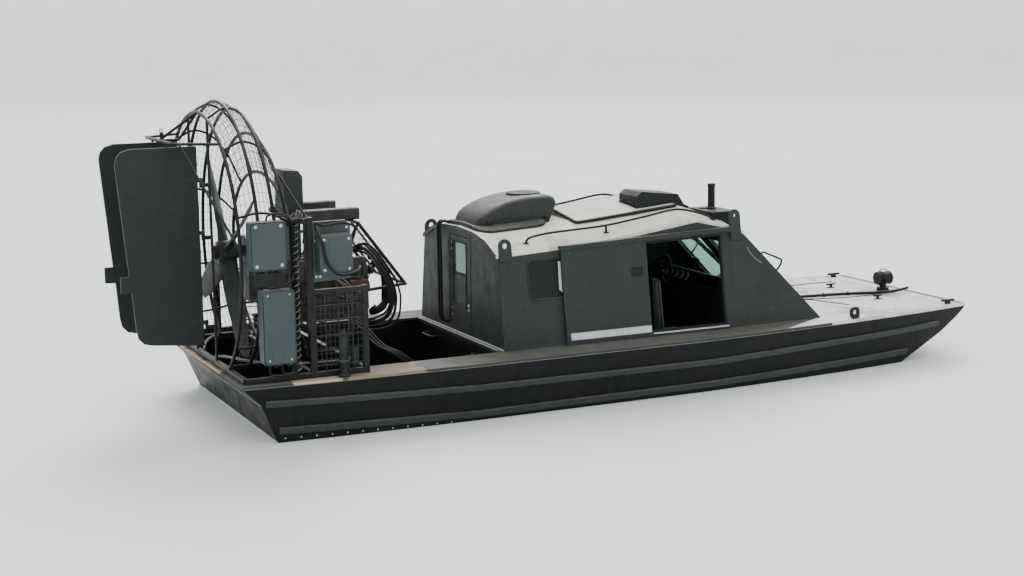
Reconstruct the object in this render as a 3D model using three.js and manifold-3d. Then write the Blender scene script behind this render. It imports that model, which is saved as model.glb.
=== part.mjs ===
// A cabin airboat, in millimetres: +X to the bow, +Y to port, +Z up. The origin is on the flat
// hull bottom, on the centreline, halfway along the hull. A closed cabin sits amidships, and an
// engine on a tube stand drives an air propeller in a round cage with two air rudders behind it.
import * as THREE from "three";
import { mergeVertices } from "three/addons/utils/BufferGeometryUtils.js";
import Module from "manifold-3d";

const wasm = await Module();
wasm.setup();

// Gap kept where two pieces touch, and the running clearance of what moves
const TOUCH = 0.3;
const CLEAR = 6;

// Hull: the half-beam at the gunwale along X, and the outline of the side seen square on
const HULL_TOP = 600;
const DECK_TOP = 620;
const FLARE = 80;
const RUB_RAIL = 10;
const BEAM = [
  // x, half-beam
  [-3650, 1205], [-2950, 1250], [-2360, 1270], [-1660, 1290], [540, 1290],
  [1320, 1250], [2210, 1180], [3000, 1085], [3600, 985],
];
const HULL_SIDE = [
  [-3650, HULL_TOP], [-3500, 450], [-3370, 130], [-3330, 0], [2560, 0], [2690, 70], [2954, 204],
  [3306, 373], [3520, 514], [3600, 585], [3600, HULL_TOP],
];
const BOW_X = 3600;
const STERN_X = -3650;
const FLOOR_Z = 160;
const WELL_HALF = 930;
const WELL_AFT = -3570;
const WELL_FRONT = -1320;
const WELL_SIDE = [
  [WELL_AFT, 700], [WELL_AFT, 600], [-3430, 440], [-3300, FLOOR_Z], [WELL_FRONT, FLOOR_Z],
  [WELL_FRONT, 700],
];
const CABIN_WELL_HALF = 880;
const CABIN_WELL_AFT = -1220;
const CABIN_WELL_FRONT = 1870;
const FOREDECK_X = 1895;
const STRAKE_DEPTH = 28;
const STRAKE_BEVEL = 6;
const STRAKES = [
  // name, height, then x and the z of its top
  ["upper", 54, [[-3470, 487], [-1640, 440], [590, 427], [1540, 447], [2650, 470], [3240, 492]]],
  ["lower", 60, [[-3360, 260], [-1630, 218], [600, 227], [2770, 262], [2860, 268]]],
];

// Cabin: sides that lean in, from the deck to the roof edge
const CABIN_AFT = -1275;
const WALL = 40;
const SIDE_BASE_Y = 935;
const SIDE_BASE_Z = 645;
const LEAN = 0.147;
const SILL = DECK_TOP + TOUCH;
const ROOF_SHEET = 30;
const ROOF = [
  // x, height of the roof edge, share of the full crown
  [-1290, 1433, 1], [-250, 1487, 1], [705, 1610, 0.7], [1040, 1530, 0.45], [1190, 1471, 0],
];
const CROWN = [
  // half-width from the centre, height over the roof edge
  [600, 95], [370, 140], [0, 158],
];
const LID = [
  // x, height of the hatch lid's crest
  [-350, 1697], [84, 1735], [356, 1730], [660, 1728],
];
const LID_HALF = 480;
const LID_RIM = 28;
const CASE_SIDE = [
  [300, 1600], [300, 1795], [355, 1836], [731, 1795], [785, 1709], [849, 1677], [795, 1600],
];
const CASE_Y = [-415, -85];
const PAD_X = [-1250, -580];
const POD_SIDE = [
  [-1215, 1600], [-1207, 1648], [-1125, 1730], [-940, 1806], [-713, 1845], [-468, 1839], [-428, 1803],
  [-422, 1758], [-469, 1703], [-519, 1610],
];
const POD_HALF = 300;
const SHIELD_FOOT = [1957, 624];
const SHIELD_HEAD = [1190, 1440];
const DOOR_OPEN_X = [145, 935];
const DOOR_OPEN_TOP = [1430, 1452];
const DOOR_OPEN_BOTTOM = 643;
const DOOR_REST_X = [-694, 145];
const DOOR_TRAVEL = 790;
const DOOR_TOP = [1437, 1463];
const DOOR_BOTTOM = 642;
const DOOR_SKIN = [12, 38];
const TRACK_X = [-705, 950];
const TRACK_BASE = 12;
const RAIL_X = [-700, 1030];
const RAIL_Z = [1447, 1500];
const RAIL_HEIGHT = 22;
const RAIL_OUT = 52;
const LIP = 7;
const AFT_WINDOW = [[-1000, 1035], [-660, 1035], [-660, 1355], [-1000, 1355]];
const QUARTER_WINDOW = [[1060, 960], [1500, 960], [1165, 1330], [1060, 1330]];
const AFT_DOOR_HALF = 215;
const AFT_DOOR_Z = [700, 1500];
const AFT_DOOR_THICK = 30;
const KNUCKLE = { radius: 7.7, out: 8, aside: 3, length: 80, z: [800, 1400] };
const DOOR_WINDOW = [[-135, 890], [135, 890], [135, 1440], [-135, 1440]];
const GLASS = 8;
const EYES = [
  // x of the eye, its centre height, outer radius, hole radius, foot of its plate
  [-1208, 1506, 60, 24, 1376],
  [1093, 1618, 57, 14, 1400],
];
const EYE_PLATE = 18;

// Propeller, its round cage and the rudders behind it
const PROP_X = -3403;
const PROP_Z = 1520;
const PROP_LEAN = 30;
const BLADES = 4;
const BLADE = [
  // radius, chord, thickness, twist in degrees
  [40, 110, 60, 60], [190, 120, 44, 48], [430, 185, 30, 36], [760, 165, 18, 26], [970, 96, 10, 20],
];
const CAGE_Z = 1560;
const CAGE_FOOT = 690;
const CAGE = [
  // x, half-width, height over the axis
  [-3600, 1130, 1130], [-3440, 1125, 1215], [-3300, 1100, 1150], [-3175, 1040, 940],
  [-3088, 865, 610],
];
const HOOP_TUBE = 15;
const RIB_TUBE = 10;
const RIB_ANGLES = [-128, -105, -71, -40, -15, 15, 40, 71, 105, 128];
const POST_TUBE = 12;
const RUDDER_Y = 300;
const RUDDER_AXIS = -3672;
const HINGE = { radius: 14, length: 40, z: [950, 1690, 2120] };
const RUDDER_THICK = 30;
const RUDDER_OUTLINE = [
  [-3700, 800], [-3700, 2435], [-4250, 2435], [-4308, 2418], [-4348, 2374], [-4362, 2315],
  [-4289, 1417], [-4360, 1415], [-4360, 1285], [-4275, 1281], [-4253, 980], [-4236, 900],
  [-4194, 856], [-4125, 840], [-3820, 812],
];
const TOP_FRAME = { x: -3927, z: 2473, half: 420, tube: 15, hoopY: 664, truss: -3760, brace: 0.15 };

// Engine stand on the side decks, and what it carries
const TUBE = 44;
const STAND_Y = 1130;
const STAND_X = [-3600, -3190, -3040, -2596];
const BASE_Z = DECK_TOP + TOUCH;
const BASE_TOP = BASE_Z + TUBE;
const ENGINE = { x: [-3000, -2175], half: 290, z: [880, 1430] };
const BEARER_Z = ENGINE.z[0] - TOUCH;
const BOXES = [
  // name, x range, y range on the starboard side, z range
  ["control_box_upper", -3555, -3265, -1250, -1140.5, 1525, 1905],
  ["control_box_lower", -3480, -3213.3, -1250, -1135, 780, 1365],
  ["control_box_forward", -3016.7, -2700, -1250, -1120, 1385, 1870],
];

const COLOURS = {
  hull: 0x161c1a, strake: 0x3d4240, panel: 0x3f4644, roof: 0xc9c0b4, box: 0x55605f,
  dark: 0x1b1d1d, deck: 0x4a4c49, bright: 0xb9bdbf, glass: 0x7fb5a5, rubber: 0x121212,
  blade: 0x4c4f4e, seat: 0x2a2d30, engine: 0x6b3a2c,
};

// Shapes: every function gives one closed geometry
function plain(geometry) {
  const bare = geometry.index ? geometry.toNonIndexed() : geometry.clone();
  bare.deleteAttribute("normal");
  bare.deleteAttribute("uv");
  return mergeVertices(bare, 1e-3);
}

function solidOf(geometry) {
  const merged = plain(geometry);
  const triVerts = new Uint32Array(merged.index.array);
  const vertProperties = merged.attributes.position.array;
  const made = new wasm.Manifold(new wasm.Mesh({ numProp: 3, vertProperties, triVerts }));
  if (made.volume() >= 0) return made;
  for (let i = 0; i < triVerts.length; i += 3) {
    [triVerts[i + 1], triVerts[i + 2]] = [triVerts[i + 2], triVerts[i + 1]];
  }
  return new wasm.Manifold(new wasm.Mesh({ numProp: 3, vertProperties, triVerts }));
}

function geometryOf(solid) {
  const mesh = solid.getMesh();
  const made = new THREE.BufferGeometry();
  made.setAttribute("position", new THREE.BufferAttribute(mesh.vertProperties, 3));
  made.setIndex(new THREE.BufferAttribute(mesh.triVerts, 1));
  return made;
}

function join(...pieces) {
  return geometryOf(pieces.map(solidOf).reduce((all, one) => all.add(one)));
}

function cut(base, ...tools) {
  return geometryOf(tools.map(solidOf).reduce((left, tool) => left.subtract(tool), solidOf(base)));
}

function common(a, b) {
  return geometryOf(solidOf(a).intersect(solidOf(b)));
}

function moved(geometry, x, y, z) {
  return geometry.clone().translate(x, y, z);
}

function mirrored(geometry) {
  return geometryOf(solidOf(plain(geometry).scale(1, -1, 1)));
}

function box(x0, x1, y0, y1, z0, z1) {
  const made = new THREE.BoxGeometry(x1 - x0, y1 - y0, z1 - z0);
  return made.translate((x0 + x1) / 2, (y0 + y1) / 2, (z0 + z1) / 2);
}

function at(table, x, column = 1) {
  const last = table.length - 1;
  if (x <= table[0][0]) return table[0][column];
  if (x >= table[last][0]) return table[last][column];
  const i = table.findIndex((row) => row[0] > x);
  const share = (x - table[i - 1][0]) / (table[i][0] - table[i - 1][0]);
  return table[i - 1][column] + share * (table[i][column] - table[i - 1][column]);
}

function roundedShape(points, radius) {
  const shape = new THREE.Shape();
  points.forEach((point, i) => {
    const here = new THREE.Vector2(...point);
    const before = new THREE.Vector2(...points.at(i - 1)).sub(here);
    const after = new THREE.Vector2(...points[(i + 1) % points.length]).sub(here);
    const start = here.clone().addScaledVector(before.normalize(), radius);
    const end = here.clone().addScaledVector(after.normalize(), radius);
    if (i === 0) shape.moveTo(start.x, start.y);
    else shape.lineTo(start.x, start.y);
    if (radius > 0) shape.quadraticCurveTo(here.x, here.y, end.x, end.y);
  });
  shape.closePath();
  return shape;
}

// A flat outline made solid between two values of the third axis
function slab(points, from, to, axis, radius = 0) {
  const shape = radius > 0 ? roundedShape(points, radius) : new THREE.Shape(
    points.map((p) => new THREE.Vector2(...p)),
  );
  const made = new THREE.ExtrudeGeometry(shape, { depth: to - from, bevelEnabled: false, curveSegments: 4 });
  made.translate(0, 0, from);
  if (axis === "y") made.applyMatrix4(new THREE.Matrix4().set(1, 0, 0, 0, 0, 0, 1, 0, 0, 1, 0, 0, 0, 0, 0, 1));
  if (axis === "x") made.applyMatrix4(new THREE.Matrix4().set(0, 0, 1, 0, 1, 0, 0, 0, 0, 1, 0, 0, 0, 0, 0, 1));
  return geometryOf(solidOf(made));
}

// Each edge of a convex outline moved in by a distance
function inset(points, distance) {
  const turn = Math.sign(THREE.ShapeUtils.area(points.map((p) => new THREE.Vector2(...p))));
  const edges = points.map((a, i) => {
    const b = points[(i + 1) % points.length];
    const length = Math.hypot(b[0] - a[0], b[1] - a[1]);
    const along = [(b[0] - a[0]) / length, (b[1] - a[1]) / length];
    const shift = distance * turn;
    return { from: [a[0] - along[1] * shift, a[1] + along[0] * shift], along };
  });
  return edges.map((edge, i) => {
    const before = edges.at(i - 1);
    const cross = before.along[0] * edge.along[1] - before.along[1] * edge.along[0];
    const gap = [edge.from[0] - before.from[0], edge.from[1] - before.from[1]];
    const t = (gap[0] * edge.along[1] - gap[1] * edge.along[0]) / cross;
    return [before.from[0] + t * before.along[0], before.from[1] + t * before.along[1]];
  });
}

// Sections [x, [[y, z], ...]] joined along X
function loft(sections) {
  const count = sections[0][1].length;
  const position = sections.flatMap(([x, loop]) => loop.flatMap(([y, z]) => [x, y, z]));
  const index = [];
  for (let s = 0; s + 1 < sections.length; s++) {
    for (let i = 0; i < count; i++) {
      const a = s * count + i;
      const b = s * count + ((i + 1) % count);
      index.push(a, b, b + count, a, b + count, a + count);
    }
  }
  const last = (sections.length - 1) * count;
  const cap = (loop) => THREE.ShapeUtils.triangulateShape(loop.map((p) => new THREE.Vector2(...p)), []);
  cap(sections[0][1]).forEach(([a, b, c]) => index.push(a, c, b));
  cap(sections.at(-1)[1]).forEach(([a, b, c]) => index.push(last + a, last + b, last + c));
  const made = new THREE.BufferGeometry();
  made.setAttribute("position", new THREE.Float32BufferAttribute(position, 3));
  made.setIndex(index);
  return made;
}

function rod(from, to, radius, sides = 6) {
  const a = new THREE.Vector3(...from);
  const b = new THREE.Vector3(...to);
  const made = new THREE.CylinderGeometry(radius, radius, a.distanceTo(b), sides);
  const way = b.clone().sub(a).normalize();
  made.applyQuaternion(new THREE.Quaternion().setFromUnitVectors(new THREE.Vector3(0, 1, 0), way));
  return made.translate(...a.add(b).multiplyScalar(0.5).toArray());
}

function ball(centre, radius) {
  return new THREE.SphereGeometry(radius, 8, 5).translate(...centre);
}

// Straight tubes through a list of points, with a ball at each corner
function frameTube(points, radius, sides = 6) {
  const pieces = points.slice(1).map((point, i) => rod(points[i], point, radius, sides));
  points.slice(1, -1).forEach((point) => pieces.push(ball(point, radius)));
  return join(...pieces);
}

function ring(radius, sides) {
  const turn = (i) => (2 * Math.PI * i) / sides;
  const points = Array.from({ length: sides }, (_, i) => [radius * Math.cos(turn(i)), radius * Math.sin(turn(i))]);
  return new THREE.Shape(points.map((p) => new THREE.Vector2(...p)));
}

// A round tube on a smooth curve through the points
function curvedTube(points, radius, steps, sides = 8) {
  const extrudePath = new THREE.CatmullRomCurve3(points.map((p) => new THREE.Vector3(...p)), false, "centripetal");
  const made = new THREE.ExtrudeGeometry(ring(radius, sides), { steps, extrudePath, bevelEnabled: false });
  return geometryOf(solidOf(made));
}

function drum(centre, radius, length, axis, sides = 24) {
  const made = new THREE.CylinderGeometry(radius, radius, length, sides);
  if (axis === "x") made.rotateZ(Math.PI / 2);
  if (axis === "z") made.rotateX(Math.PI / 2);
  return made.translate(...centre);
}

// The cabin side leans: y is the distance out from its port face, until this moves it there
function lean(geometry) {
  const shear = new THREE.Matrix4().set(
    1, 0, 0, 0, 0, 1, -LEAN, SIDE_BASE_Y + LEAN * SIDE_BASE_Z, 0, 0, 1, 0, 0, 0, 0, 1,
  );
  return plain(geometry).applyMatrix4(shear);
}

const sideY = (z) => SIDE_BASE_Y - LEAN * (z - SIDE_BASE_Z);
const roofEdge = (x) => at(ROOF, x);

// The group that holds the object
const airboat = new THREE.Group();

function add(name, geometry, colour, roughness = 0.6, metalness = 0.3) {
  const material = new THREE.MeshStandardMaterial({ color: colour, roughness, metalness });
  const mesh = new THREE.Mesh(geometry, material);
  mesh.name = name;
  airboat.add(mesh);
}

// Makes a piece on the port side and its mirror image to starboard
function addPair(name, geometry, colour, roughness, metalness) {
  add(name + "_port", geometry, colour, roughness, metalness);
  add(name + "_starboard", mirrored(geometry), colour, roughness, metalness);
}

// Hull with its cockpit and cabin wells
function hull() {
  const body = loft(BEAM.map(([x, half]) => [x, [
    [FLARE - half, 0], [half - FLARE, 0], [half, HULL_TOP], [-half, HULL_TOP],
  ]]));
  const shaped = common(body, slab(HULL_SIDE, -1400, 1400, "y"));
  const cockpit = slab(WELL_SIDE, -WELL_HALF, WELL_HALF, "y");
  const cabin = box(CABIN_WELL_AFT, CABIN_WELL_FRONT, -CABIN_WELL_HALF, CABIN_WELL_HALF, FLOOR_Z, 700);
  add("hull", cut(shaped, cockpit, cabin), COLOURS.hull);
}

function strakes() {
  for (const [name, height, tops] of STRAKES) {
    const first = tops[0][0];
    const last = tops.at(-1)[0];
    const stations = [...new Set([...tops, ...BEAM].map((row) => row[0]))]
      .filter((x) => x >= first && x <= last)
      .sort((a, b) => a - b);
    const sections = stations.map((x) => {
      const top = at(tops, x);
      const skin = (z) => at(BEAM, x) - FLARE + (FLARE * z) / HULL_TOP + TOUCH;
      const low = top - height;
      return [x, [
        [skin(low), low], [skin(low) + STRAKE_DEPTH, low + STRAKE_BEVEL],
        [skin(top) + STRAKE_DEPTH, top - STRAKE_BEVEL], [skin(top), top],
      ]];
    });
    addPair("strake_" + name, loft(sections), COLOURS.strake);
  }
}

// Deck plates over the hull, with the bollards, cleats and eyes that they carry
function bollard(x, y) {
  return join(
    drum([x, y, DECK_TOP + 6], 46, 16, "z", 16),
    drum([x, y, DECK_TOP + 60], 30, 120, "z", 16),
    drum([x, y, DECK_TOP + 116], 44, 14, "z", 16),
  );
}

function cleat(x, y) {
  return join(
    box(x - 25, x + 25, y - 14, y + 14, DECK_TOP - 4, DECK_TOP + 30),
    box(x - 70, x + 70, y - 11, y + 11, DECK_TOP + 26, DECK_TOP + 44),
  );
}

function deckEye(x, y) {
  const plate = slab([[x - 50, DECK_TOP - 5], [x + 50, DECK_TOP - 5], [x + 50, DECK_TOP + 112], [x - 50, DECK_TOP + 112]],
    y - 8, y + 8, "y", 40);
  const foot = box(x - 50, x + 50, y - 8, y + 8, DECK_TOP - 5, DECK_TOP + 45);
  return cut(join(plate, foot), rod([x, y - 20, DECK_TOP + 64], [x, y + 20, DECK_TOP + 64], 22, 12));
}

function decks() {
  const edge = (from, to) => BEAM.filter(([x]) => x > from && x < to).map(([x, half]) => [x, half + RUB_RAIL]);
  const sideOutline = [
    [STERN_X, at(BEAM, STERN_X) + RUB_RAIL], ...edge(STERN_X, FOREDECK_X),
    [FOREDECK_X, at(BEAM, FOREDECK_X) + RUB_RAIL], [FOREDECK_X, CABIN_WELL_HALF],
    [WELL_FRONT, CABIN_WELL_HALF], [WELL_FRONT, WELL_HALF], [STERN_X, WELL_HALF],
  ];
  const side = slab(sideOutline, HULL_TOP + TOUCH, DECK_TOP, "z");
  addPair("side_deck", join(side, bollard(-2810, 1205)), COLOURS.deck);
  const stern = box(STERN_X, WELL_AFT, TOUCH - WELL_HALF, WELL_HALF - TOUCH, HULL_TOP + TOUCH, DECK_TOP);
  add("stern_deck", stern, COLOURS.deck);
  const front = FOREDECK_X + TOUCH;
  const half = [[front, at(BEAM, front) + RUB_RAIL], ...edge(front, BOW_X), [BOW_X, at(BEAM, BOW_X) + RUB_RAIL]];
  const foreOutline = [...half, ...half.map(([x, y]) => [x, -y]).reverse()];
  const fore = slab(foreOutline, HULL_TOP + TOUCH, DECK_TOP, "z");
  const nose = box(BOW_X - 60, BOW_X + 12, -at(BEAM, BOW_X), at(BEAM, BOW_X), HULL_TOP + TOUCH, DECK_TOP);
  add("foredeck", join(fore, nose, deckEye(2187, 1150), deckEye(2187, -1150), cleat(3440, 930), cleat(3440, -930)),
    COLOURS.roof);
  add("bulkhead_cap", box(WELL_FRONT + TOUCH, CABIN_WELL_AFT, TOUCH - CABIN_WELL_HALF, CABIN_WELL_HALF - TOUCH,
    HULL_TOP + TOUCH, DECK_TOP), COLOURS.deck);
}

// Cabin sides: one leaning panel each, with the door opening, two windows, the lifting ears
// and the rail over the door
function cabinSides() {
  const shieldX = (z) => SHIELD_FOOT[0] + ((z - SHIELD_FOOT[1]) * (SHIELD_HEAD[0] - SHIELD_FOOT[0])) / (SHIELD_HEAD[1] - SHIELD_FOOT[1]);
  const under = (x) => roofEdge(x) - ROOF_SHEET - TOUCH;
  const front = CABIN_AFT + WALL + TOUCH;
  const outline = [
    [front, SILL], [shieldX(SILL), SILL], [shieldX(under(1190)), under(1190)], [1040, under(1040)],
    [705, under(705)], [-250, under(-250)], [front, under(front)],
  ];
  const panel = slab(outline, -WALL, 0, "y");
  const doorway = slab([
    [DOOR_OPEN_X[0], DOOR_OPEN_BOTTOM], [DOOR_OPEN_X[1], DOOR_OPEN_BOTTOM],
    [DOOR_OPEN_X[1], DOOR_OPEN_TOP[1]], [DOOR_OPEN_X[0], DOOR_OPEN_TOP[0]],
  ], -WALL - 20, 20, "y");
  const windows = [slab(AFT_WINDOW, -WALL - 20, 20, "y", 45), slab(QUARTER_WINDOW, -WALL - 20, 20, "y", 40)];
  const ears = EYES.map(([x, z, radius, , foot]) => join(
    rod([x, -TOUCH, z], [x, EYE_PLATE, z], radius, 20),
    box(x - radius, x + radius, -TOUCH, EYE_PLATE, foot, z),
  ));
  const holes = EYES.map(([x, z, , hole]) => rod([x, -30, z], [x, 40, z], hole, 14));
  const rail = (low, high, from, to) => slab([
    [RAIL_X[0], RAIL_Z[0] + low], [RAIL_X[1], RAIL_Z[1] + low], [RAIL_X[1], RAIL_Z[1] + high], [RAIL_X[0], RAIL_Z[0] + high],
  ], from, to, "y");
  const header = join(
    rail(0, RAIL_HEIGHT, -TOUCH, RAIL_OUT),
    rail(-LIP * 2, RAIL_HEIGHT, RAIL_OUT - LIP, RAIL_OUT),
  );
  const cutPanel = cut(panel, doorway, ...windows);
  addPair("cabin_side", lean(cut(join(cutPanel, ...ears, header), ...holes)), COLOURS.panel);
  for (const [name, points, radius] of [["aft", AFT_WINDOW, 45], ["quarter", QUARTER_WINDOW, 40]]) {
    const pane = slab(inset(points, TOUCH), -WALL / 2 - GLASS / 2, -WALL / 2 + GLASS / 2, "y", radius);
    addPair("side_window_" + name, lean(pane), COLOURS.glass, 0.1, 0);
  }
}

function slidingDoors() {
  const door = (shift) => {
    const [from, to] = DOOR_REST_X.map((x) => x + shift);
    const leaf = slab([[from, DOOR_BOTTOM], [to, DOOR_BOTTOM], [to, DOOR_TOP[1]], [from, DOOR_TOP[0]]],
      DOOR_SKIN[0], DOOR_SKIN[1], "y");
    const recess = slab([[to - 165, 1160], [to - 55, 1160], [to - 55, 1235], [to - 165, 1235]],
      DOOR_SKIN[1] - 10, DOOR_SKIN[1] + 10, "y", 12);
    const shoes = [from + 20, to - 120].map((x) => box(x, x + 100, DOOR_SKIN[0] + 6, DOOR_SKIN[1] - 6,
      SILL + TRACK_BASE + TOUCH, DOOR_BOTTOM + 10));
    return lean(cut(join(leaf, ...shoes), recess));
  };
  add("sliding_door_starboard", mirrored(door(0)), COLOURS.panel);
  add("sliding_door_port", door(DOOR_TRAVEL), COLOURS.panel);
  const lip = (from, to) => box(TRACK_X[0], TRACK_X[1], from, to, SILL, DOOR_BOTTOM + 14);
  const base = box(TRACK_X[0], TRACK_X[1], 2, DOOR_SKIN[1] + CLEAR + LIP, SILL, SILL + TRACK_BASE);
  const track = join(base, lip(2, DOOR_SKIN[0] - CLEAR), lip(DOOR_SKIN[1] + CLEAR, DOOR_SKIN[1] + CLEAR + LIP));
  addPair("door_track", lean(track), COLOURS.bright, 0.35, 0.9);
}

function aftWall() {
  const shoulder = ROOF[0][1] - ROOF_SHEET - 12;
  const corners = [[sideY(SILL) - 1, SILL], [sideY(shoulder) - 1, shoulder]];
  const arch = roofLoop(ROOF[0], -ROOF_SHEET - TOUCH);
  const outline = [...corners, ...arch, ...corners.reverse().map(([y, z]) => [-y, z])];
  const wall = slab(outline, CABIN_AFT, CABIN_AFT + WALL, "x");
  const gap = CLEAR;
  const doorway = box(CABIN_AFT - 10, CABIN_AFT + WALL + 10, -AFT_DOOR_HALF - gap, AFT_DOOR_HALF + gap,
    AFT_DOOR_Z[0] - gap, AFT_DOOR_Z[1] + gap);
  add("cabin_aft_wall", cut(wall, doorway), COLOURS.panel);
  const leaf = box(CABIN_AFT, CABIN_AFT + AFT_DOOR_THICK, -AFT_DOOR_HALF, AFT_DOOR_HALF, ...AFT_DOOR_Z);
  const window = slab(DOOR_WINDOW, CABIN_AFT - 10, CABIN_AFT + WALL, "x", 30);
  const handle = join(
    box(CABIN_AFT - 34, CABIN_AFT - 24, -196, -146, 872, 886),
    box(CABIN_AFT - 30, CABIN_AFT + 2, -196, -182, 872, 886),
  );
  const knuckles = KNUCKLE.z.flatMap((z) => [
    drum([CABIN_AFT - KNUCKLE.out, AFT_DOOR_HALF + KNUCKLE.aside, z], KNUCKLE.radius, KNUCKLE.length, "z", 16),
    box(CABIN_AFT - 6, CABIN_AFT + 1, AFT_DOOR_HALF - 25, AFT_DOOR_HALF - 1, z - 38, z + 38),
  ]);
  add("aft_door", join(cut(leaf, window), handle, ...knuckles), COLOURS.panel);
  const middle = CABIN_AFT + AFT_DOOR_THICK / 2;
  add("aft_door_window", slab(inset(DOOR_WINDOW, TOUCH), middle - GLASS / 2, middle + GLASS / 2, "x", 30),
    COLOURS.glass, 0.1, 0);
}

function roofLoop([x, edge, share], drop) {
  const arch = CROWN.map(([y, z]) => [y, edge + z * share + drop]);
  const right = [[sideY(edge) - 1, edge + drop], ...arch];
  return right.concat(right.slice(0, -1).reverse().map(([y, z]) => [-y, z]));
}

function roof() {
  const half = loft(ROOF.map((row) => {
    const under = roofLoop(row, -ROOF_SHEET).slice(0, CROWN.length + 1);
    const over = roofLoop(row, 0).slice(0, CROWN.length + 1);
    return [row[0], [...under.reverse(), ...over]];
  }));
  add("cabin_roof", join(half, mirrored(half)), COLOURS.roof);
}

// Sloped front of the cabin with two panes
function windshield() {
  const slope = new THREE.Vector2(SHIELD_HEAD[0] - SHIELD_FOOT[0], SHIELD_HEAD[1] - SHIELD_FOOT[1]);
  const length = slope.length();
  const angle = Math.atan2(slope.y, slope.x);
  const run = WALL / Math.sin(Math.PI - angle);
  const footX = SHIELD_FOOT[0] + (SILL - SHIELD_FOOT[1]) * (slope.x / slope.y);
  const headX = SHIELD_HEAD[0];
  const face = slab([[footX, SILL], [headX, SHIELD_HEAD[1]], [headX - run, SHIELD_HEAD[1]], [footX - run, SILL]],
    -1000, 1000, "y");
  const outside = lean(box(900, 2200, -WALL - TOUCH, 400, 500, 1600));
  const place = (geometry) => {
    geometry.rotateY(-angle);
    return geometry.translate(SHIELD_FOOT[0], 0, SHIELD_FOOT[1]);
  };
  const sides = [1, -1];
  const pane = (side, grow, low, high) => {
    const made = new THREE.BoxGeometry(length * 0.66 + 2 * grow, 640 + 2 * grow, high - low);
    return place(made.translate(length * 0.55, side * 375, (low + high) / 2));
  };
  const holes = sides.map((side) => pane(side, 0, -10, WALL + 30));
  add("windshield_frame", cut(face, outside, mirrored(outside), ...holes), COLOURS.panel);
  sides.forEach((side, i) => {
    add("windshield_" + ["port", "starboard"][i], pane(side, -TOUCH, WALL / 2 - 4, WALL / 2 + 4), COLOURS.glass, 0.1, 0);
  });
}

// What the roof carries: handrails, air conditioner, hatch frame, equipment case and antenna box
function crownAt(x, y) {
  const table = [[1 - sideY(roofEdge(x)), 0], ...CROWN.map(([w, z]) => [-w, z])];
  return roofEdge(x) + at(ROOF, x, 2) * at(table, -Math.abs(y));
}

// Everything below the roof's top, to cut the feet of what stands on it
function underRoof() {
  const half = loft(ROOF.map((row) => [row[0], [
    [0, 1200], [1000, 1200], ...roofLoop(row, TOUCH).slice(0, CROWN.length + 1),
  ]]));
  return join(half, mirrored(half));
}

function handrails() {
  const y = 710;
  const radius = 11;
  const rail = [
    // x, height over the roof
    [-955, 8], [-938, 36], [-820, 60], [-173, 62], [200, 70], [538, 78], [684, 40], [873, 22], [925, 6],
  ];
  const feet = [rail[0], rail[3], rail.at(-1)];
  const point = ([x, over]) => [x, y, crownAt(x, y) + over];
  const posts = feet.map((row) => rod([row[0], y, crownAt(row[0], y) - 14], point(row), radius));
  const made = cut(join(curvedTube(rail.map(point), radius, 30, 6), ...posts), underRoof());
  addPair("roof_handrail", made, COLOURS.dark, 0.5, 0.5);
}

function airConditioner() {
  const plan = [[POD_SIDE[0][0] - 2, -POD_HALF], [-400, -POD_HALF], [-400, POD_HALF], [POD_SIDE[0][0] - 2, POD_HALF]];
  const pod = common(slab(POD_SIDE, -500, 500, "y"), slab(plan, 1590, 1900, "z", 90));
  const fan = drum([-640, 0, 1842], 155, 36, "z", 24);
  const pad = loft(PAD_X.map((x) => [x, [
    [-440, 1500], [440, 1500], [440, crownAt(x, 440) + 30], [300, crownAt(x, 0) + 42], [-300, crownAt(x, 0) + 42],
    [-440, crownAt(x, 440) + 30],
  ]]));
  add("air_conditioner", cut(join(pad, pod, fan), underRoof()), COLOURS.panel);
}

function airHoses() {
  for (const [name, y] of [["inner", 300], ["outer", 352]]) {
    const hose = curvedTube([
      [PAD_X[0] - TOUCH, y, 1600], [-1272, y, 1600], [-1298, y, 1604], [-1324, y, 1590], [-1332, y, 1540], [-1330, y, 1300], [-1330, y, 1000],
      [-1330, y, 760], [-1320, y, 708], [-1298, y, 690], [-1286, y, 688], [CABIN_AFT - 2 * TOUCH, y, 688],
    ], 13, 26);
    add("air_hose_" + name, hose, COLOURS.rubber, 0.8, 0);
  }
}

function roofGear() {
  const below = underRoof();
  const lid = loft(LID.map(([x, crest]) => [x, [
    [-LID_HALF, 1400], [LID_HALF, 1400], [LID_HALF, crownAt(x, LID_HALF) + LID_RIM], [0, crest],
    [-LID_HALF, crownAt(x, LID_HALF) + LID_RIM],
  ]]));
  const recess = box(CASE_SIDE[0][0] - 15, 900, CASE_Y[0] - 15, CASE_Y[1] + 15, 1300, 2000);
  add("roof_hatch", cut(lid, recess, below), COLOURS.roof);
  add("roof_case", cut(slab(CASE_SIDE, ...CASE_Y, "y"), below), COLOURS.panel);
  const boxTop = 1632;
  const housing = box(955, 1180, -660, -250, 1500, boxTop);
  const shelf = box(935, 1200, -680, -230, boxTop - 4, boxTop + 10);
  const post = new THREE.CylinderGeometry(20, 32, 235, 12).rotateX(Math.PI / 2).translate(1080, -430, boxTop + 122);
  add("antenna_box", cut(join(housing, shelf, post), below), COLOURS.dark);
}

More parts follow.
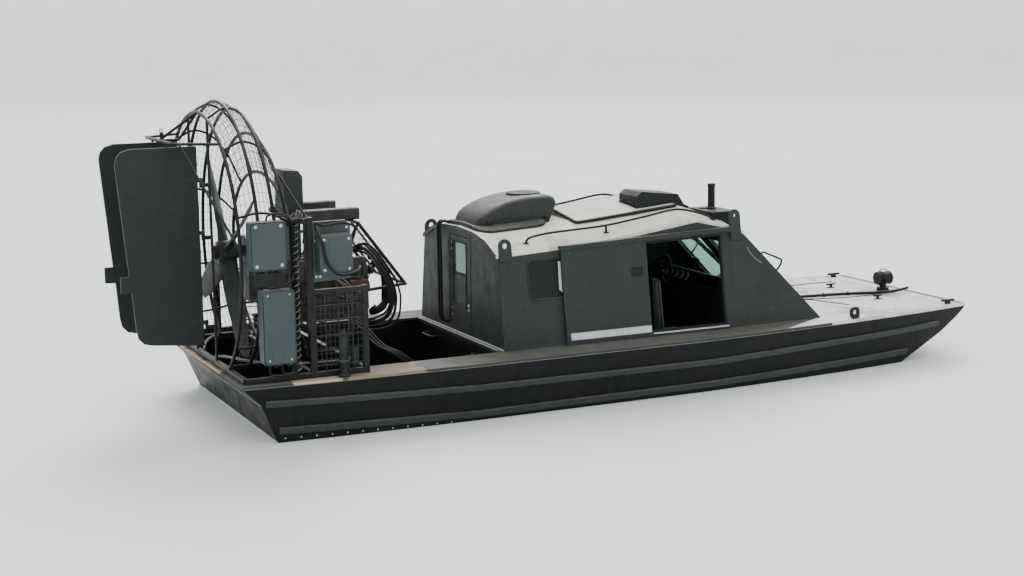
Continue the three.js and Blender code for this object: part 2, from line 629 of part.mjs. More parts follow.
// Engine stand: base rails on the side decks, uprights, cross beams, bearers and the wire guards
function engineStand() {
  const t = TUBE / 2;
  const thin = t - 2;
  const [sternX, aftX, midX, foreX] = STAND_X;
  const pieces = [];
  for (const side of [1, -1]) {
    const y = side * STAND_Y;
    const tall = side < 0 ? 1905 : 1334;
    const rails = [
      // x, half-depth, z of the rails along the side
      [sternX, foreX, t, BASE_Z + t], [aftX, midX, thin, tall - 25], [midX, foreX, thin, 1308],
    ];
    for (const [from, to, half, z] of rails) {
      pieces.push(box(from, to, y - half, y + half, z - half, z + half));
    }
    for (const [x, top] of [[aftX, tall], [midX, tall], [foreX, 1334]]) {
      pieces.push(box(x - t - 1, x + t + 1, y - t - 1, y + t + 1, BASE_Z, top));
    }
    const by = side * 240;
    pieces.push(box(midX - 40, -2190, by - t, by + t, BEARER_Z - TUBE, BEARER_Z));
    for (const x of [midX, foreX]) pieces.push(box(x - thin, x + thin, by - thin, by + thin, BASE_Z + 8, BEARER_Z - 8));
    for (let i = 0; i <= 4; i++) {
      const z = 710 + i * 120;
      pieces.push(box(midX, foreX, y - 5, y + 5, z - 5, z + 5));
    }
    for (let i = 1; i <= 3; i++) {
      const x = midX + (i * (foreX - midX)) / 4;
      pieces.push(box(x - 4, x + 4, y - 4, y + 4, BASE_Z + 10, 1300));
    }
  }
  for (const x of [sternX, midX, foreX]) {
    pieces.push(box(x - thin, x + thin, -STAND_Y, STAND_Y, BASE_Z + 0.5, BASE_TOP - 1));
  }
  add("engine_stand", join(...pieces), COLOURS.dark, 0.5, 0.5);
}

function engine() {
  const [from, to] = ENGINE.x;
  add("engine_block", box(from, to, -ENGINE.half, ENGINE.half, ...ENGINE.z), COLOURS.engine, 0.7, 0.5);
  const back = PROP_X + 150;
  const gear = join(
    box(back, from - TOUCH, -130, 130, 1100, PROP_Z),
    drum([(back + from - TOUCH) / 2, 0, PROP_Z], 130, from - TOUCH - back, "x", 24),
  );
  add("gearbox", gear, COLOURS.dark, 0.5, 0.6);
}

// Long box mufflers on top, the intake cover between them, and the posts that hold them
function exhaust() {
  const low = 1758;
  const high = 1860;
  const [rear, front] = [-2862, -2335];
  for (const side of [1, -1]) {
    const y = side * 300;
    const can = slab([[y - 52, low], [y + 52, low], [y + 52, high], [y - 52, high]], rear, front, "x", 22);
    const pipe = frameTube([[-2500, y, low + 10], [-2500, y, 1600], [-2500, side * 240, 1500], [-2500, side * 240, ENGINE.z[1] + TOUCH]], 32, 8);
    const strut = box(-2820, -2790, y - 15, y + 15, ENGINE.z[1] + TOUCH, low + 20);
    add("muffler_" + (side > 0 ? "port" : "starboard"), join(can, pipe, strut), COLOURS.dark, 0.6, 0.5);
  }
  const top = slab([[-2920, 1827], [-2755, 1827], [-2755, 2125], [-2790, 2175], [-2921, 2185]], -130, 130, "y");
  const neck = box(-2900, -2775, -100, 100, ENGINE.z[1] + TOUCH, 1840);
  add("intake_cover", join(top, neck), COLOURS.panel);
}

function boxes() {
  const aftPost = STAND_X[1] - TUBE / 2 - 1 - TOUCH;
  for (const [name, x0, x1, y0, y1, z0, z1] of BOXES) {
    const shell = slab([[x0, z0], [x1, z0], [x1, z1], [x0, z1]], y0, y1, "y", 24);
    const plate = box(x1 - 80, aftPost, y1 - 14, y1 - 2, z0 + 60, z1 - 60);
    add(name, x1 < aftPost ? join(shell, plate) : shell, COLOURS.box);
  }
}

// Tube guard in front of the engine, and the hoses that drop from it
function frontGuard() {
  const pieces = [];
  const t = 14;
  const [topX, topZ] = [-2385, 1743];
  const [tipX, tipZ] = [-1975, 1195];
  for (const side of [1, -1]) {
    const y = side * 450;
    pieces.push(frameTube([[-2596, side * 700, 1352], [-2596, y, 1352], [topX, y, topZ], [tipX, y, tipZ],
      [-2596, y, 1145], [-2596, side * 700, 1145]], t));
    pieces.push(rod([-2596, side * 700, 1145], [-2596, side * 700, 1352], t));
    pieces.push(rod([-2596, side * 700, 1250], [-2596, side * (STAND_Y - TUBE / 2 - 1 - TOUCH), 1250], t));
  }
  pieces.push(rod([topX, -450, topZ], [topX, 450, topZ], t));
  pieces.push(rod([tipX, -450, tipZ], [tipX, 450, tipZ], t));
  for (const y of [-240, 240]) pieces.push(rod([topX, y, topZ], [tipX, y, tipZ], 9));
  add("front_guard", join(...pieces), COLOURS.dark, 0.5, 0.5);
}

function coolantHoses() {
  const [, front] = ENGINE.x;
  for (const [name, y, drop] of [["upper", -100, 0], ["lower", -175, 60]]) {
    const hose = curvedTube([
      [front + TOUCH, y, 1400 - drop], [front + 45, y, 1400 - drop], [-2060, y, 1330 - drop], [-2034, y, 1200 - drop],
      [-2034, y, 1060], [-2050, y, 950 + drop], [front + 45, y, 915 + drop / 2], [front + TOUCH, y, 915 + drop / 2],
    ], 30, 22);
    add("coolant_hose_" + name, hose, COLOURS.rubber, 0.7, 0);
  }
}

// Round cage: hoops across, ribs along it, closed by a smaller hoop in front
function hoopPoint([x, wide, high], degrees) {
  const a = THREE.MathUtils.degToRad(degrees);
  const up = Math.cos(a);
  return [x, wide * Math.sin(a), CAGE_Z + up * (up > 0 ? high : wide)];
}

function hoop(row, radius) {
  const full = row[1] < CAGE_Z - CAGE_FOOT;
  const limit = full ? 180 : THREE.MathUtils.radToDeg(Math.acos((CAGE_FOOT - CAGE_Z) / row[1]));
  const count = 22;
  const points = Array.from({ length: count + 1 }, (_, i) => hoopPoint(row, -limit + (2 * limit * i) / count));
  if (full) points[count] = points[0];
  return curvedTube(points, radius, count, 5);
}

function cage() {
  const pieces = CAGE.map((row) => hoop(row, HOOP_TUBE));
  const ribs = RIB_ANGLES.map((degrees) => curvedTube(CAGE.map((row) => hoopPoint(row, degrees)), RIB_TUBE, 8, 5));
  const feet = [];
  for (const side of [1, -1]) {
    const foot = hoopPoint(CAGE[0], side * 142);
    const low = BASE_TOP - 1 + TOUCH;
    feet.push(box(CAGE[0][0] - 15, STAND_X[2] + 20, foot[1] - 15, foot[1] + 15, low, low + 2 * HOOP_TUBE));
    const y = side * RUDDER_Y;
    const head = CAGE_Z + CAGE[0][1] * Math.sqrt(1 - (RUDDER_Y / CAGE[0][1]) ** 2);
    feet.push(rod([CAGE[0][0], y, low], [CAGE[0][0], y, head], POST_TUBE));
    for (const z of HINGE.z) {
      feet.push(box(RUDDER_AXIS, CAGE[0][0], y - 8, y + 8, z - 16, z + 16));
      feet.push(drum([RUDDER_AXIS, y, z], HINGE.radius, HINGE.length, "z", 12));
    }
  }
  // Stays from the cage to the tall posts on the starboard side
  const stays = [
    rod(hoopPoint(CAGE[2], -71), [STAND_X[1], -STAND_Y, 1880], RIB_TUBE),
    rod(hoopPoint(CAGE[3], -40), [STAND_X[2], -STAND_Y, 1880], RIB_TUBE),
  ];
  const reach = TUBE / 2 + 1 + TOUCH;
  const posts = box(STAND_X[1] - reach, STAND_X[2] + reach, -STAND_Y - reach, reach - STAND_Y, 1000, 2000);
  add("propeller_cage", join(...pieces, ...ribs, ...feet, cut(join(...stays), posts)), COLOURS.dark, 0.5, 0.5);
}

// Frame over the rudders with the stern light, and the two rudders on their hinges
function rudders() {
  const back = CAGE[0][0];
  const { x, z, half, tube, hoopY, truss, brace } = TOP_FRAME;
  const crest = CAGE_Z + CAGE[0][2];
  const pieces = [
    rod([x, -half, z], [x, half, z], tube),
    rod([x, 0, z], [truss, 0, z], 12),
    rod([truss, 0, z], [back, 0, crest], 12),
    rod([x, 0, z], [back, 0, crest], 12),
    drum([x + 25, 0, z + 60], 18, 90, "z", 12),
  ];
  for (const side of [1, -1]) {
    pieces.push(ball([x, side * half, z], tube));
    pieces.push(rod([x, side * half, z], [back, side * hoopY, z], 12));
    // The long brace starts a little along the side rail, clear of the turned rudder
    const head = [x + brace * (back - x), side * (half + brace * (hoopY - half)), z];
    pieces.push(rod(head, hoopPoint(CAGE[0], side * 84), 10));
  }
  const ahead = box(back - HOOP_TUBE + 1.5, back + 100, -1300, 1300, 1300, 2900);
  add("rudder_top_frame", cut(join(...pieces), hoop(CAGE[0], HOOP_TUBE + TOUCH), ahead), COLOURS.dark, 0.5, 0.5);
  for (const side of [1, -1]) {
    const y = side * RUDDER_Y;
    const name = side > 0 ? "port" : "starboard";
    const blade = slab(RUDDER_OUTLINE, y - RUDDER_THICK / 2, y + RUDDER_THICK / 2, "y");
    const knuckles = HINGE.z.flatMap((height) => {
      const middle = height + HINGE.length + TOUCH;
      return [
        drum([RUDDER_AXIS, y, middle], HINGE.radius, HINGE.length, "z", 12),
        box(RUDDER_OUTLINE[0][0] - 5, RUDDER_AXIS, y - 8, y + 8, middle - 16, middle + 16),
      ];
    });
    add("rudder_" + name, join(blade, ...knuckles), COLOURS.panel);
  }
}

function propeller() {
  const hub = join(
    drum([PROP_X, 0, PROP_Z], 95, 150, "x", 24),
    drum([PROP_X - 92, 0, PROP_Z], 60, 46, "x", 20),
    drum([PROP_X + 112 - TOUCH / 2, 0, PROP_Z], 45, 76 - TOUCH, "x", 16),
  );
  const blade = () => {
    const sections = BLADE.map(([radius, chord, thick, twist]) => {
      const a = THREE.MathUtils.degToRad(twist);
      const half = chord / 2;
      const loop = [[-half, 0], [-half * 0.4, -thick / 2], [half * 0.5, -thick * 0.4], [half, 0],
        [half * 0.5, thick * 0.4], [-half * 0.4, thick / 2]];
      return [radius, loop.map(([c, t]) => [c * Math.cos(a) - t * Math.sin(a), c * Math.sin(a) + t * Math.cos(a)])];
    });
    return loft(sections);
  };
  const blades = Array.from({ length: BLADES }, (_, i) => {
    const made = blade().applyMatrix4(new THREE.Matrix4().set(0, 0, 1, 0, 0, 1, 0, 0, 1, 0, 0, 0, 0, 0, 0, 1));
    const turn = THREE.MathUtils.degToRad(-PROP_LEAN + (360 / BLADES) * i);
    return moved(made.rotateX(turn), PROP_X, 0, PROP_Z);
  });
  add("propeller", join(hub, ...blades), COLOURS.blade, 0.5, 0.4);
}

// Inside the cabin: helm console, wheel and two seats, plain
function interior() {
  const floor = FLOOR_Z + TOUCH;
  const helm = slab([[1120, floor], [1560, floor], [1560, 700], [1330, 950], [1180, 985], [1120, 860]],
    -780, 780, "y");
  add("helm_console", helm, COLOURS.dark);
  const wheel = new THREE.TorusGeometry(175, 14, 6, 20).rotateY(Math.PI / 2);
  const spoke = box(-14, 14, -170, 170, -16, 16);
  const column = drum([85, 0, 0], 24, 170, "x", 12);
  const tilt = moved(plain(join(wheel, spoke, column).rotateY(0.35)), 1011, 380, 930);
  add("steering_wheel", cut(tilt, moved(helm, -TOUCH, 0, 0)), COLOURS.rubber, 0.7, 0);
  for (const [name, y] of [["port", 380], ["starboard", -380]]) {
    const post = box(520, 760, y - 120, y + 120, floor, 425);
    const cushion = slab([[400, 420], [880, 420], [890, 530], [520, 530], [470, 1080], [370, 1080]],
      y - 230, y + 230, "y");
    add("seat_" + name, join(post, cushion), COLOURS.seat, 0.9, 0);
  }
}

// On the foredeck: searchlight and a pole that lies along it
function foredeckGear() {
  const x = 3362;
  const lamp = join(
    drum([x, -20, DECK_TOP + TOUCH + 20], 62, 40, "z", 20),
    drum([x, -20, DECK_TOP + 70], 34, 80, "z", 16),
    drum([x, -20, DECK_TOP + 132], 66, 150, "x", 20),
  );
  add("searchlight", lamp, COLOURS.dark);
  const z = DECK_TOP + 16.5;
  const pole = curvedTube([[2365, 30, z], [2900, -60, z], [3250, -160, z], [3420, -200, z + 10], [3520, -225, z + 34]],
    15, 14);
  add("foredeck_pole", pole, COLOURS.dark);
}

hull();
strakes();
decks();
cabinSides();
slidingDoors();
aftWall();
roof();
windshield();
handrails();
airConditioner();
airHoses();
roofGear();
engineStand();
engine();
exhaust();
boxes();
frontGuard();
coolantHoses();
cage();
rudders();
propeller();
interior();
foredeckGear();

export default airboat;
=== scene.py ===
"""Looks of a cabin airboat, in metres: +X to the bow, +Y to port, +Z up, in its CAD part's frame."""
import math

import bmesh
import bpy
from mathutils import Matrix, Vector


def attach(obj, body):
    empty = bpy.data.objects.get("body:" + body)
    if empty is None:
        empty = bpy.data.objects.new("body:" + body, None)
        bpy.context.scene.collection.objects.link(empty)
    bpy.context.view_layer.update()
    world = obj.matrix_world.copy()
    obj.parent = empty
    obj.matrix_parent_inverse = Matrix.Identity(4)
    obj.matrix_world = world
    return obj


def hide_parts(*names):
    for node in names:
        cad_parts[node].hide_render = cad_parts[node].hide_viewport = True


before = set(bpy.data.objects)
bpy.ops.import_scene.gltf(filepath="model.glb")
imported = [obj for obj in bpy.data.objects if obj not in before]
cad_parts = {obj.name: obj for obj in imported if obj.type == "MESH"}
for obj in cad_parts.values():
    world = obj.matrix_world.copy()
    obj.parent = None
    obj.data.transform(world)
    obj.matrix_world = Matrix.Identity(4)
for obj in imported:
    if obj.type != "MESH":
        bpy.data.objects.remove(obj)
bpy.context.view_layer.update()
SIDES = ((1, "port"), (-1, "starboard"))
AHEAD = Vector((1, 0, 0))
PORT = Vector((0, 1, 0))
UP = Vector((0, 0, 1))

# Camera and floor
CAMERA_AT = (-7.23, -13.87, 3.55)
CAMERA_YAW = math.radians(-25)
CAMERA_PITCH = math.radians(9.5)
CAMERA_ROLL = math.radians(-0.8)
LENS = 60.08
WATERLINE = 0.13
FLOOR_RADIUS = 45
BOWL = 14

# Hull and decks
DECK_TOP = 0.62
DECK_SKIN = DECK_TOP + 0.0003
HULL_TOP = 0.6
FLARE = 0.08
BEAM = [
    # x, half-beam at the gunwale
    (-3.65, 1.205), (-2.95, 1.25), (-2.36, 1.27), (-1.66, 1.29), (0.54, 1.29), (1.32, 1.25), (2.21, 1.18),
    (3, 1.085), (3.6, 0.985),
]
DECK_LEADS = [
    # each a list of x, y and height
    ((1.985, -0.1, 0.632), (2.12, -0.06, 0.6245), (2.399, -0.102, 0.6245), (2.5, -0.33, 0.6245),
     (2.579, -0.527, 0.6235)),
    ((1.985, 0.3, 0.632), (2.2, 0.42, 0.6245), (2.5, 0.6, 0.6245), (2.846, 0.683, 0.6245), (3.242, 0.677, 0.6235)),
    ((1.985, -0.06, 0.632), (2.2, -0.02, 0.6245), (2.8, -0.18, 0.6245), (3.2, -0.16, 0.6245), (3.3, -0.05, 0.63)),
]

# Cabin
CABIN_AFT = -1.275
SIDE_BASE_Y = 0.935
SIDE_BASE_Z = 0.645
LEAN = 0.147
ROOF = [
    # x, height of the roof edge, share of the full crown
    (-1.29, 1.433, 1), (-0.25, 1.487, 1), (0.705, 1.61, 0.7), (1.04, 1.53, 0.45), (1.19, 1.471, 0),
]
CROWN = [
    # distance from the centre, height over the roof edge
    (0, 0.158), (0.37, 0.14), (0.6, 0.095),
]
AFT_WINDOW = (-1, -0.66, 1.035, 1.355)
QUARTER_COVER = [(1.032, 0.925), (1.56, 0.925), (1.178, 1.366), (1.032, 1.366)]
SIDE_BOLTS = [
    # x, z
    (-1.073, 1.378), (-0.963, 1.392), (-1.041, 0.992), (-0.944, 0.98), (-0.722, 0.985), (1.048, 1.345),
    (1.17, 1.345), (1.052, 1.14), (1.052, 0.945), (1.21, 0.945), (1.37, 0.945), (1.52, 0.945), (1.437, 1.045),
    (1.312, 1.19), (1.411, 0.746), (1.443, 0.751), (1.641, 0.86), (-1.18, 0.7), (-1.18, 1.3), (1.06, 0.7),
]
DOOR_X = (-0.694, 0.145)
DOOR_SHIFT = {"starboard": 0, "port": 0.79}
DOOR_FACE = 0.038
AFT_DOOR = (-0.215, 0.215, 0.7, 1.5)
AFT_DOOR_WINDOW = (-0.135, 0.135, 0.89, 1.44)
SHIELD_FOOT = Vector((1.957, 0, 0.624))
SHIELD_HEAD = Vector((1.19, 0, 1.44))

# On the roof
HANDRAIL_Y = 0.71
HANDRAIL_TUBE = 0.011
HANDRAIL = [
    # x, height over the roof
    (-0.955, 0.008), (-0.938, 0.036), (-0.82, 0.06), (-0.173, 0.062), (0.2, 0.07), (0.538, 0.078),
    (0.684, 0.04), (0.873, 0.022), (0.925, 0.006),
]
HANDRAIL_FEET = (0, 3, 8)
LID = [
    # x, height of the hatch lid's crest
    (-0.35, 1.697), (0.084, 1.735), (0.356, 1.73), (0.66, 1.728),
]
LID_HALF = 0.48
LID_RIM = 0.028
MAST = (1.08, -0.43, 0)
POD_TOP = [
    # x, height of the air conditioner's top
    (-1.215, 1.606), (-1.207, 1.648), (-1.17, 1.694), (-1.125, 1.73), (-1.04, 1.771), (-0.94, 1.806),
    (-0.83, 1.831), (-0.713, 1.845), (-0.59, 1.848), (-0.5, 1.844), (-0.45, 1.824), (-0.428, 1.803),
    (-0.422, 1.786),
]
POD_LOW = [(-1.215, 1.6), (-0.519, 1.605), (-0.469, 1.703), (-0.422, 1.758)]
POD_EXTRA_X = {-1.195, -1.182, -0.485, -0.44}
POD_HALF = 0.3
POD_CORNER = 0.09
POD_FAN = Vector((-0.64, 0, 1.8385))
PAD_X = (-1.25, -0.58)
PAD_HALF = 0.44
PAD_CORNER = 0.14
AIR_HOSE = [
    # x, z
    (PAD_X[0] - 0.0003, 1.6), (-1.272, 1.6), (-1.298, 1.604), (-1.324, 1.59), (-1.332, 1.54), (-1.33, 1.3),
    (-1.33, 1), (-1.33, 0.76), (-1.32, 0.708), (-1.298, 0.69), (-1.286, 0.688), (CABIN_AFT - 0.0006, 0.688),
]

# Inside
SEAT_Y = 0.38
PEDESTAL = [
    # height, radius
    (0.1603, 0.12), (0.172, 0.12), (0.18, 0.055), (0.4, 0.055), (0.424, 0.085),
]
WHEEL_AT = Vector((1.011, 0.38, 0.93))
WHEEL_RAKE = 0.35
WHEEL_RADIUS = 0.175
PANEL_LOW = Vector((1.12, 0, 0.86))
PANEL_HIGH = Vector((1.18, 0, 0.985))

# Propeller, cage and rudders
PROP = Vector((-3.403, 0, 1.52))
HUB = [
    # distance ahead of the blades, radius
    (-0.115, 0.03), (-0.113, 0.052), (-0.1, 0.06), (-0.0755, 0.06), (-0.075, 0.086), (-0.066, 0.095),
    (0.066, 0.095), (0.075, 0.086), (0.0755, 0.045), (0.1497, 0.045),
]
BLADE = [
    # radius, chord, thickness, twist in degrees
    (0.04, 0.11, 0.06, 60), (0.19, 0.12, 0.044, 48), (0.43, 0.185, 0.03, 36), (0.76, 0.165, 0.018, 26),
    (0.97, 0.096, 0.01, 20),
]
CAGE_Z = 1.56
CAGE_FOOT = 0.69
CAGE = [
    # x, half-width, height over the axis
    (-3.6, 1.13, 1.13), (-3.44, 1.125, 1.215), (-3.3, 1.1, 1.15), (-3.175, 1.04, 0.94), (-3.088, 0.865, 0.61),
]
CAGE_BACK = CAGE[0][0]
HOOP_TUBE = 0.015
RIB_TUBE = 0.01
MESH_WIRE = 0.0022
RIB_ANGLES = (-128, -105, -71, -40, -15, 15, 40, 71, 105, 128)
POST_TUBE = 0.012
RUDDER_Y = 0.3
RUDDER_AXIS = -3.672
HINGE_Z = (0.95, 1.69, 2.12)
RUDDER_OUTLINE = [
    (-3.7, 0.8), (-3.7, 2.435), (-4.25, 2.435), (-4.308, 2.418), (-4.348, 2.374), (-4.362, 2.315),
    (-4.289, 1.417), (-4.275, 1.281), (-4.253, 0.98), (-4.236, 0.9), (-4.194, 0.856), (-4.125, 0.84),
    (-3.82, 0.812),
]
TOP_X = -3.927
TOP_Z = 2.473
TOP_HALF = 0.42
TOP_HOOP_Y = 0.664
TRUSS_X = -3.76
BRACE = 0.15

# Engine stand, guards and boxes
STAND_Y = 1.13
STAND_X = (-3.6, -3.19, -3.04, -2.596)
STAND_TUBE = 0.044
BASE_TOP = 0.6643
STAYS = [
    # row of the cage, angle, x of the tall post
    (2, -71, STAND_X[1]), (3, -40, STAND_X[2]),
]
ENGINE_FRONT = -2.175
GUARD_TOP = (-2.385, 1.743)
GUARD_TIP = (-1.975, 1.195)
GUARD_HALF = 0.45
GUARD_OUT = 0.7
GUARD_Z = (1.145, 1.352)
GUARD_TUBE = 0.014
BOX_FACE = -1.25
BOXES = [
    # x range, z range, lower bolts' height over its foot, upper ones' depth under its top, size of the bolts
    (-3.555, -3.265, 1.525, 1.905, 0.04, 0.032, 0.008), (-3.48, -3.2133, 0.78, 1.365, 0.035, 0.035, 0.0045),
]
PLATE_X = (-3.0167, -2.7)
PLATE_Y = (-1.25, -1.12)
PLATE_Z = (1.385, 1.87)
BUNDLE_FOOT = Vector((-3.184, -1.186, 0.672))
BUNDLE_HEAD = Vector((-3.172, -1.18, 1.9))
LEADS = [
    # each from a box or the bundle to where it ends
    ((-3.41, -1.2, 1.91), (-3.4, -1.205, 1.945), (-3.32, -1.2, 1.96), (-3.23, -1.19, 1.93), (-3.185, -1.185, 1.84)),
    ((-3.34, -1.2, 1.91), (-3.335, -1.215, 1.935), (-3.27, -1.212, 1.94), (-3.215, -1.205, 1.9),
     (-3.188, -1.195, 1.78)),
    ((-3.495, -1.2, 1.495), (-3.495, -1.205, 1.44), (-3.42, -1.22, 1.385), (-3.3, -1.225, 1.4), (-3.19, -1.2, 1.44)),
    ((-3.395, -1.2, 1.495), (-3.39, -1.215, 1.42), (-3.32, -1.232, 1.39), (-3.24, -1.225, 1.42), (-3.19, -1.2, 1.5)),
    ((-3.42, -1.2, 0.75), (-3.418, -1.205, 0.7), (-3.34, -1.21, 0.682), (-3.25, -1.2, 0.69), (-3.19, -1.19, 0.76)),
    ((-3.32, -1.2, 0.75), (-3.318, -1.215, 0.705), (-3.27, -1.222, 0.69), (-3.215, -1.21, 0.7),
     (-3.188, -1.195, 0.82)),
    ((-3.19, -1.165, 1.3), (-3.12, -1.16, 1.2), (-3.08, -1.15, 1.02), (-3.06, -1.06, 0.86), (-3, -0.8, 0.8)),
    ((-3.19, -1.165, 1.05), (-3.13, -1.16, 0.96), (-3.09, -1.13, 0.86), (-3.04, -1, 0.76), (-2.95, -0.7, 0.74)),
    ((-3.178, -1.17, 1.78), (-3.1, -1.15, 1.8), (-3.02, -1.08, 1.79), (-2.95, -0.8, 1.74), (-2.9, -0.45, 1.72)),
    ((-3.178, -1.17, 1.84), (-3.09, -1.15, 1.88), (-3, -1.04, 1.9), (-2.92, -0.7, 1.8), (-2.86, -0.4, 1.6)),
]
DRAPED_HOSES = [
    # radius, sides, points
    (0.0125, 12, ((-2.9867, -1.14, 1.84), (-2.9867, -1.2, 1.79), (-2.9767, -1.264, 1.7), (-2.9417, -1.266, 1.55),
                  (-2.8667, -1.266, 1.465), (-2.7817, -1.266, 1.45), (-2.695, -1.26, 1.47), (-2.65, -1.2, 1.49),
                  (-2.64, -1.12, 1.47), (-2.61, -1, 1.41), (-2.61, -0.7, 1.37), (-2.62, -0.3, 1.37))),
    (0.009, 10, ((-2.9967, -1.15, 1.86), (-2.9267, -1.16, 1.84), (-2.76, -1.16, 1.848), (-2.67, -1.14, 1.81),
                 (-2.62, -0.95, 1.67), (-2.6, -0.6, 1.44))),
]
CANISTERS = [
    # x, sides, heights and radii
    (-2.752, 28, ((0.6645, 0.04), (0.668, 0.044), (0.672, 0.036), (0.9, 0.036), (0.918, 0.03), (0.928, 0.016),
                  (0.929, 0.022), (0.955, 0.022), (0.957, 0.012))),
    (-2.66, 24, ((0.6645, 0.03), (0.668, 0.034), (0.79, 0.034), (0.8, 0.026), (0.812, 0.01))),
]
HOSE_ARCS = [
    # offset along and across from the middle route, radius
    (0, 0, 0.016), (0.04, 0.03, 0.012), (-0.034, -0.03, 0.01), (0.01, 0.062, 0.01), (0.055, -0.04, 0.009),
]
ENGINE_SOLIDS = [
    # x range, half width, z range
    (-2.96, -2.24, 0.15, 0.885, 1.02), (-2.99, -2.23, 0.215, 1.01, 1.23), (-2.93, -2.27, 0.19, 1.22, 1.36),
    (-2.8, -2.4, 0.09, 1.35, 1.425), (-2.999, -2.96, 0.24, 0.93, 1.33), (-2.232, -2.215, 0.2, 0.96, 1.3),
]
PULLEYS = [
    # y, z, radius
    (0, 1.01, 0.085), (0, 1.21, 0.075), (-0.2, 1.3, 0.042), (0.205, 1.27, 0.048), (0.17, 1.06, 0.04),
]
PULLEY_RIM = [
    # x, share of the radius
    (-2.216, 0.5), (-2.212, 1), (-2.206, 1), (-2.203, 0.88), (-2.193, 0.88), (-2.19, 1), (-2.184, 1), (-2.18, 0.4),
]
MUFFLER_Y = 0.3
INTAKE_FACE = 0.1335


def table(rows, x, column=1):
    """The value of a column of a table at x, straight between its rows."""
    if x <= rows[0][0]:
        return rows[0][column]
    for low, high in zip(rows, rows[1:]):
        if x <= high[0]:
            share = (x - low[0]) / (high[0] - low[0])
            return low[column] + share * (high[column] - low[column])
    return rows[-1][column]


def side_y(z):
    """How far out the leaning cabin side is at a height."""
    return SIDE_BASE_Y - LEAN * (z - SIDE_BASE_Z)


def crown_at(x, y):
    """The roof's height."""
    edge = table(ROOF, x)
    across = CROWN + [(side_y(edge) - 0.001, 0)]
    return edge + table(ROOF, x, 2) * table(across, abs(y))


def skin(x, z):
    """How far out the flared hull's side is."""
    return table(BEAM, x) - FLARE + FLARE * z / HULL_TOP


def even(low, high, count):
    """Values in even steps from low to high."""
    return [low + (high - low) * i / count for i in range(count + 1)]


def turns(count, start=0.0):
    """Angles in even steps round a circle."""
    return [2 * math.pi * (i + start) / count for i in range(count)]


def circle(centre, a, b, radius, count):
    return [centre + (a * math.cos(t) + b * math.sin(t)) * radius for t in turns(count)]


def curve(points, steps):
    """The smooth curve that the CAD part's round tubes follow."""
    points = [Vector(p) for p in points]
    ends = [2 * points[0] - points[1], *points, 2 * points[-1] - points[-2]]
    made = []
    for i in range(len(points) - 1):
        a, b, c, d = ends[i:i + 4]
        ab, bc, cd = [max((q - p).length_squared ** 0.25, 1e-6) for p, q in ((a, b), (b, c), (c, d))]
        start = ((b - a) / ab - (c - a) / (ab + bc) + (c - b) / bc) * bc
        end = ((c - b) / bc - (d - b) / (bc + cd) + (d - c) / cd) * bc
        for k in range(steps):
            t = k / steps
            bow = 3 * (c - b) - 2 * start - end
            made.append(b + start * t + bow * t * t + (2 * (b - c) + start + end) * t ** 3)
    return made + [points[-1]]


def resample(points, step):
    """Points at an even step along a polyline."""
    made = [points[0]]
    left = step
    for a, b in zip(points, points[1:]):
        length = (b - a).length
        while length >= left:
            a = a.lerp(b, left / length)
            made.append(a)
            length = (b - a).length
            left = step
        left -= length
    return made + [points[-1]]


def helix(bottom, top, radius, pitch):
    coils = (top.z - bottom.z) / pitch
    count = int(coils * 14)
    made = []
    for i in range(count + 1):
        a = 2 * math.pi * coils * i / count
        made.append(bottom.lerp(top, i / count) + Vector((math.cos(a), math.sin(a), 0)) * radius)
    return made


def mirrored(route, side):
    return [(x, side * y, z) for x, y, z in route]


def rectangle(x0, x1, z0, z1, out=0):
    """The corners of a rectangle, moved out by a margin."""
    return [(x0 - out, z0 - out), (x1 + out, z0 - out), (x1 + out, z1 + out), (x0 - out, z1 + out)]


def rounded(corners, radius, steps=6):
    """A closed outline with its corners rounded."""
    points = []
    for i, corner in enumerate(corners):
        here = Vector(corner)
        before = (Vector(corners[i - 1]) - here).normalized() * radius
        after = (Vector(corners[(i + 1) % len(corners)]) - here).normalized() * radius
        for k in range(steps + 1):
            t = k / steps
            points.append(tuple(here + before * (1 - t) ** 2 + after * t ** 2))
    return points


# Materials
def rgb(code):
    """A linear colour from a screen colour such as 0x3f4644."""
    parts = [((code >> shift) & 255) / 255 for shift in (16, 8, 0)]
    return tuple(p / 12.92 if p <= 0.04045 else ((p + 0.055) / 1.055) ** 2.4 for p in parts) + (1,)


def scaled(colour, factor, lift=0.0):
    """A colour made lighter or darker."""
    return tuple(min(c * factor + lift, 1) for c in colour[:3]) + (1,)


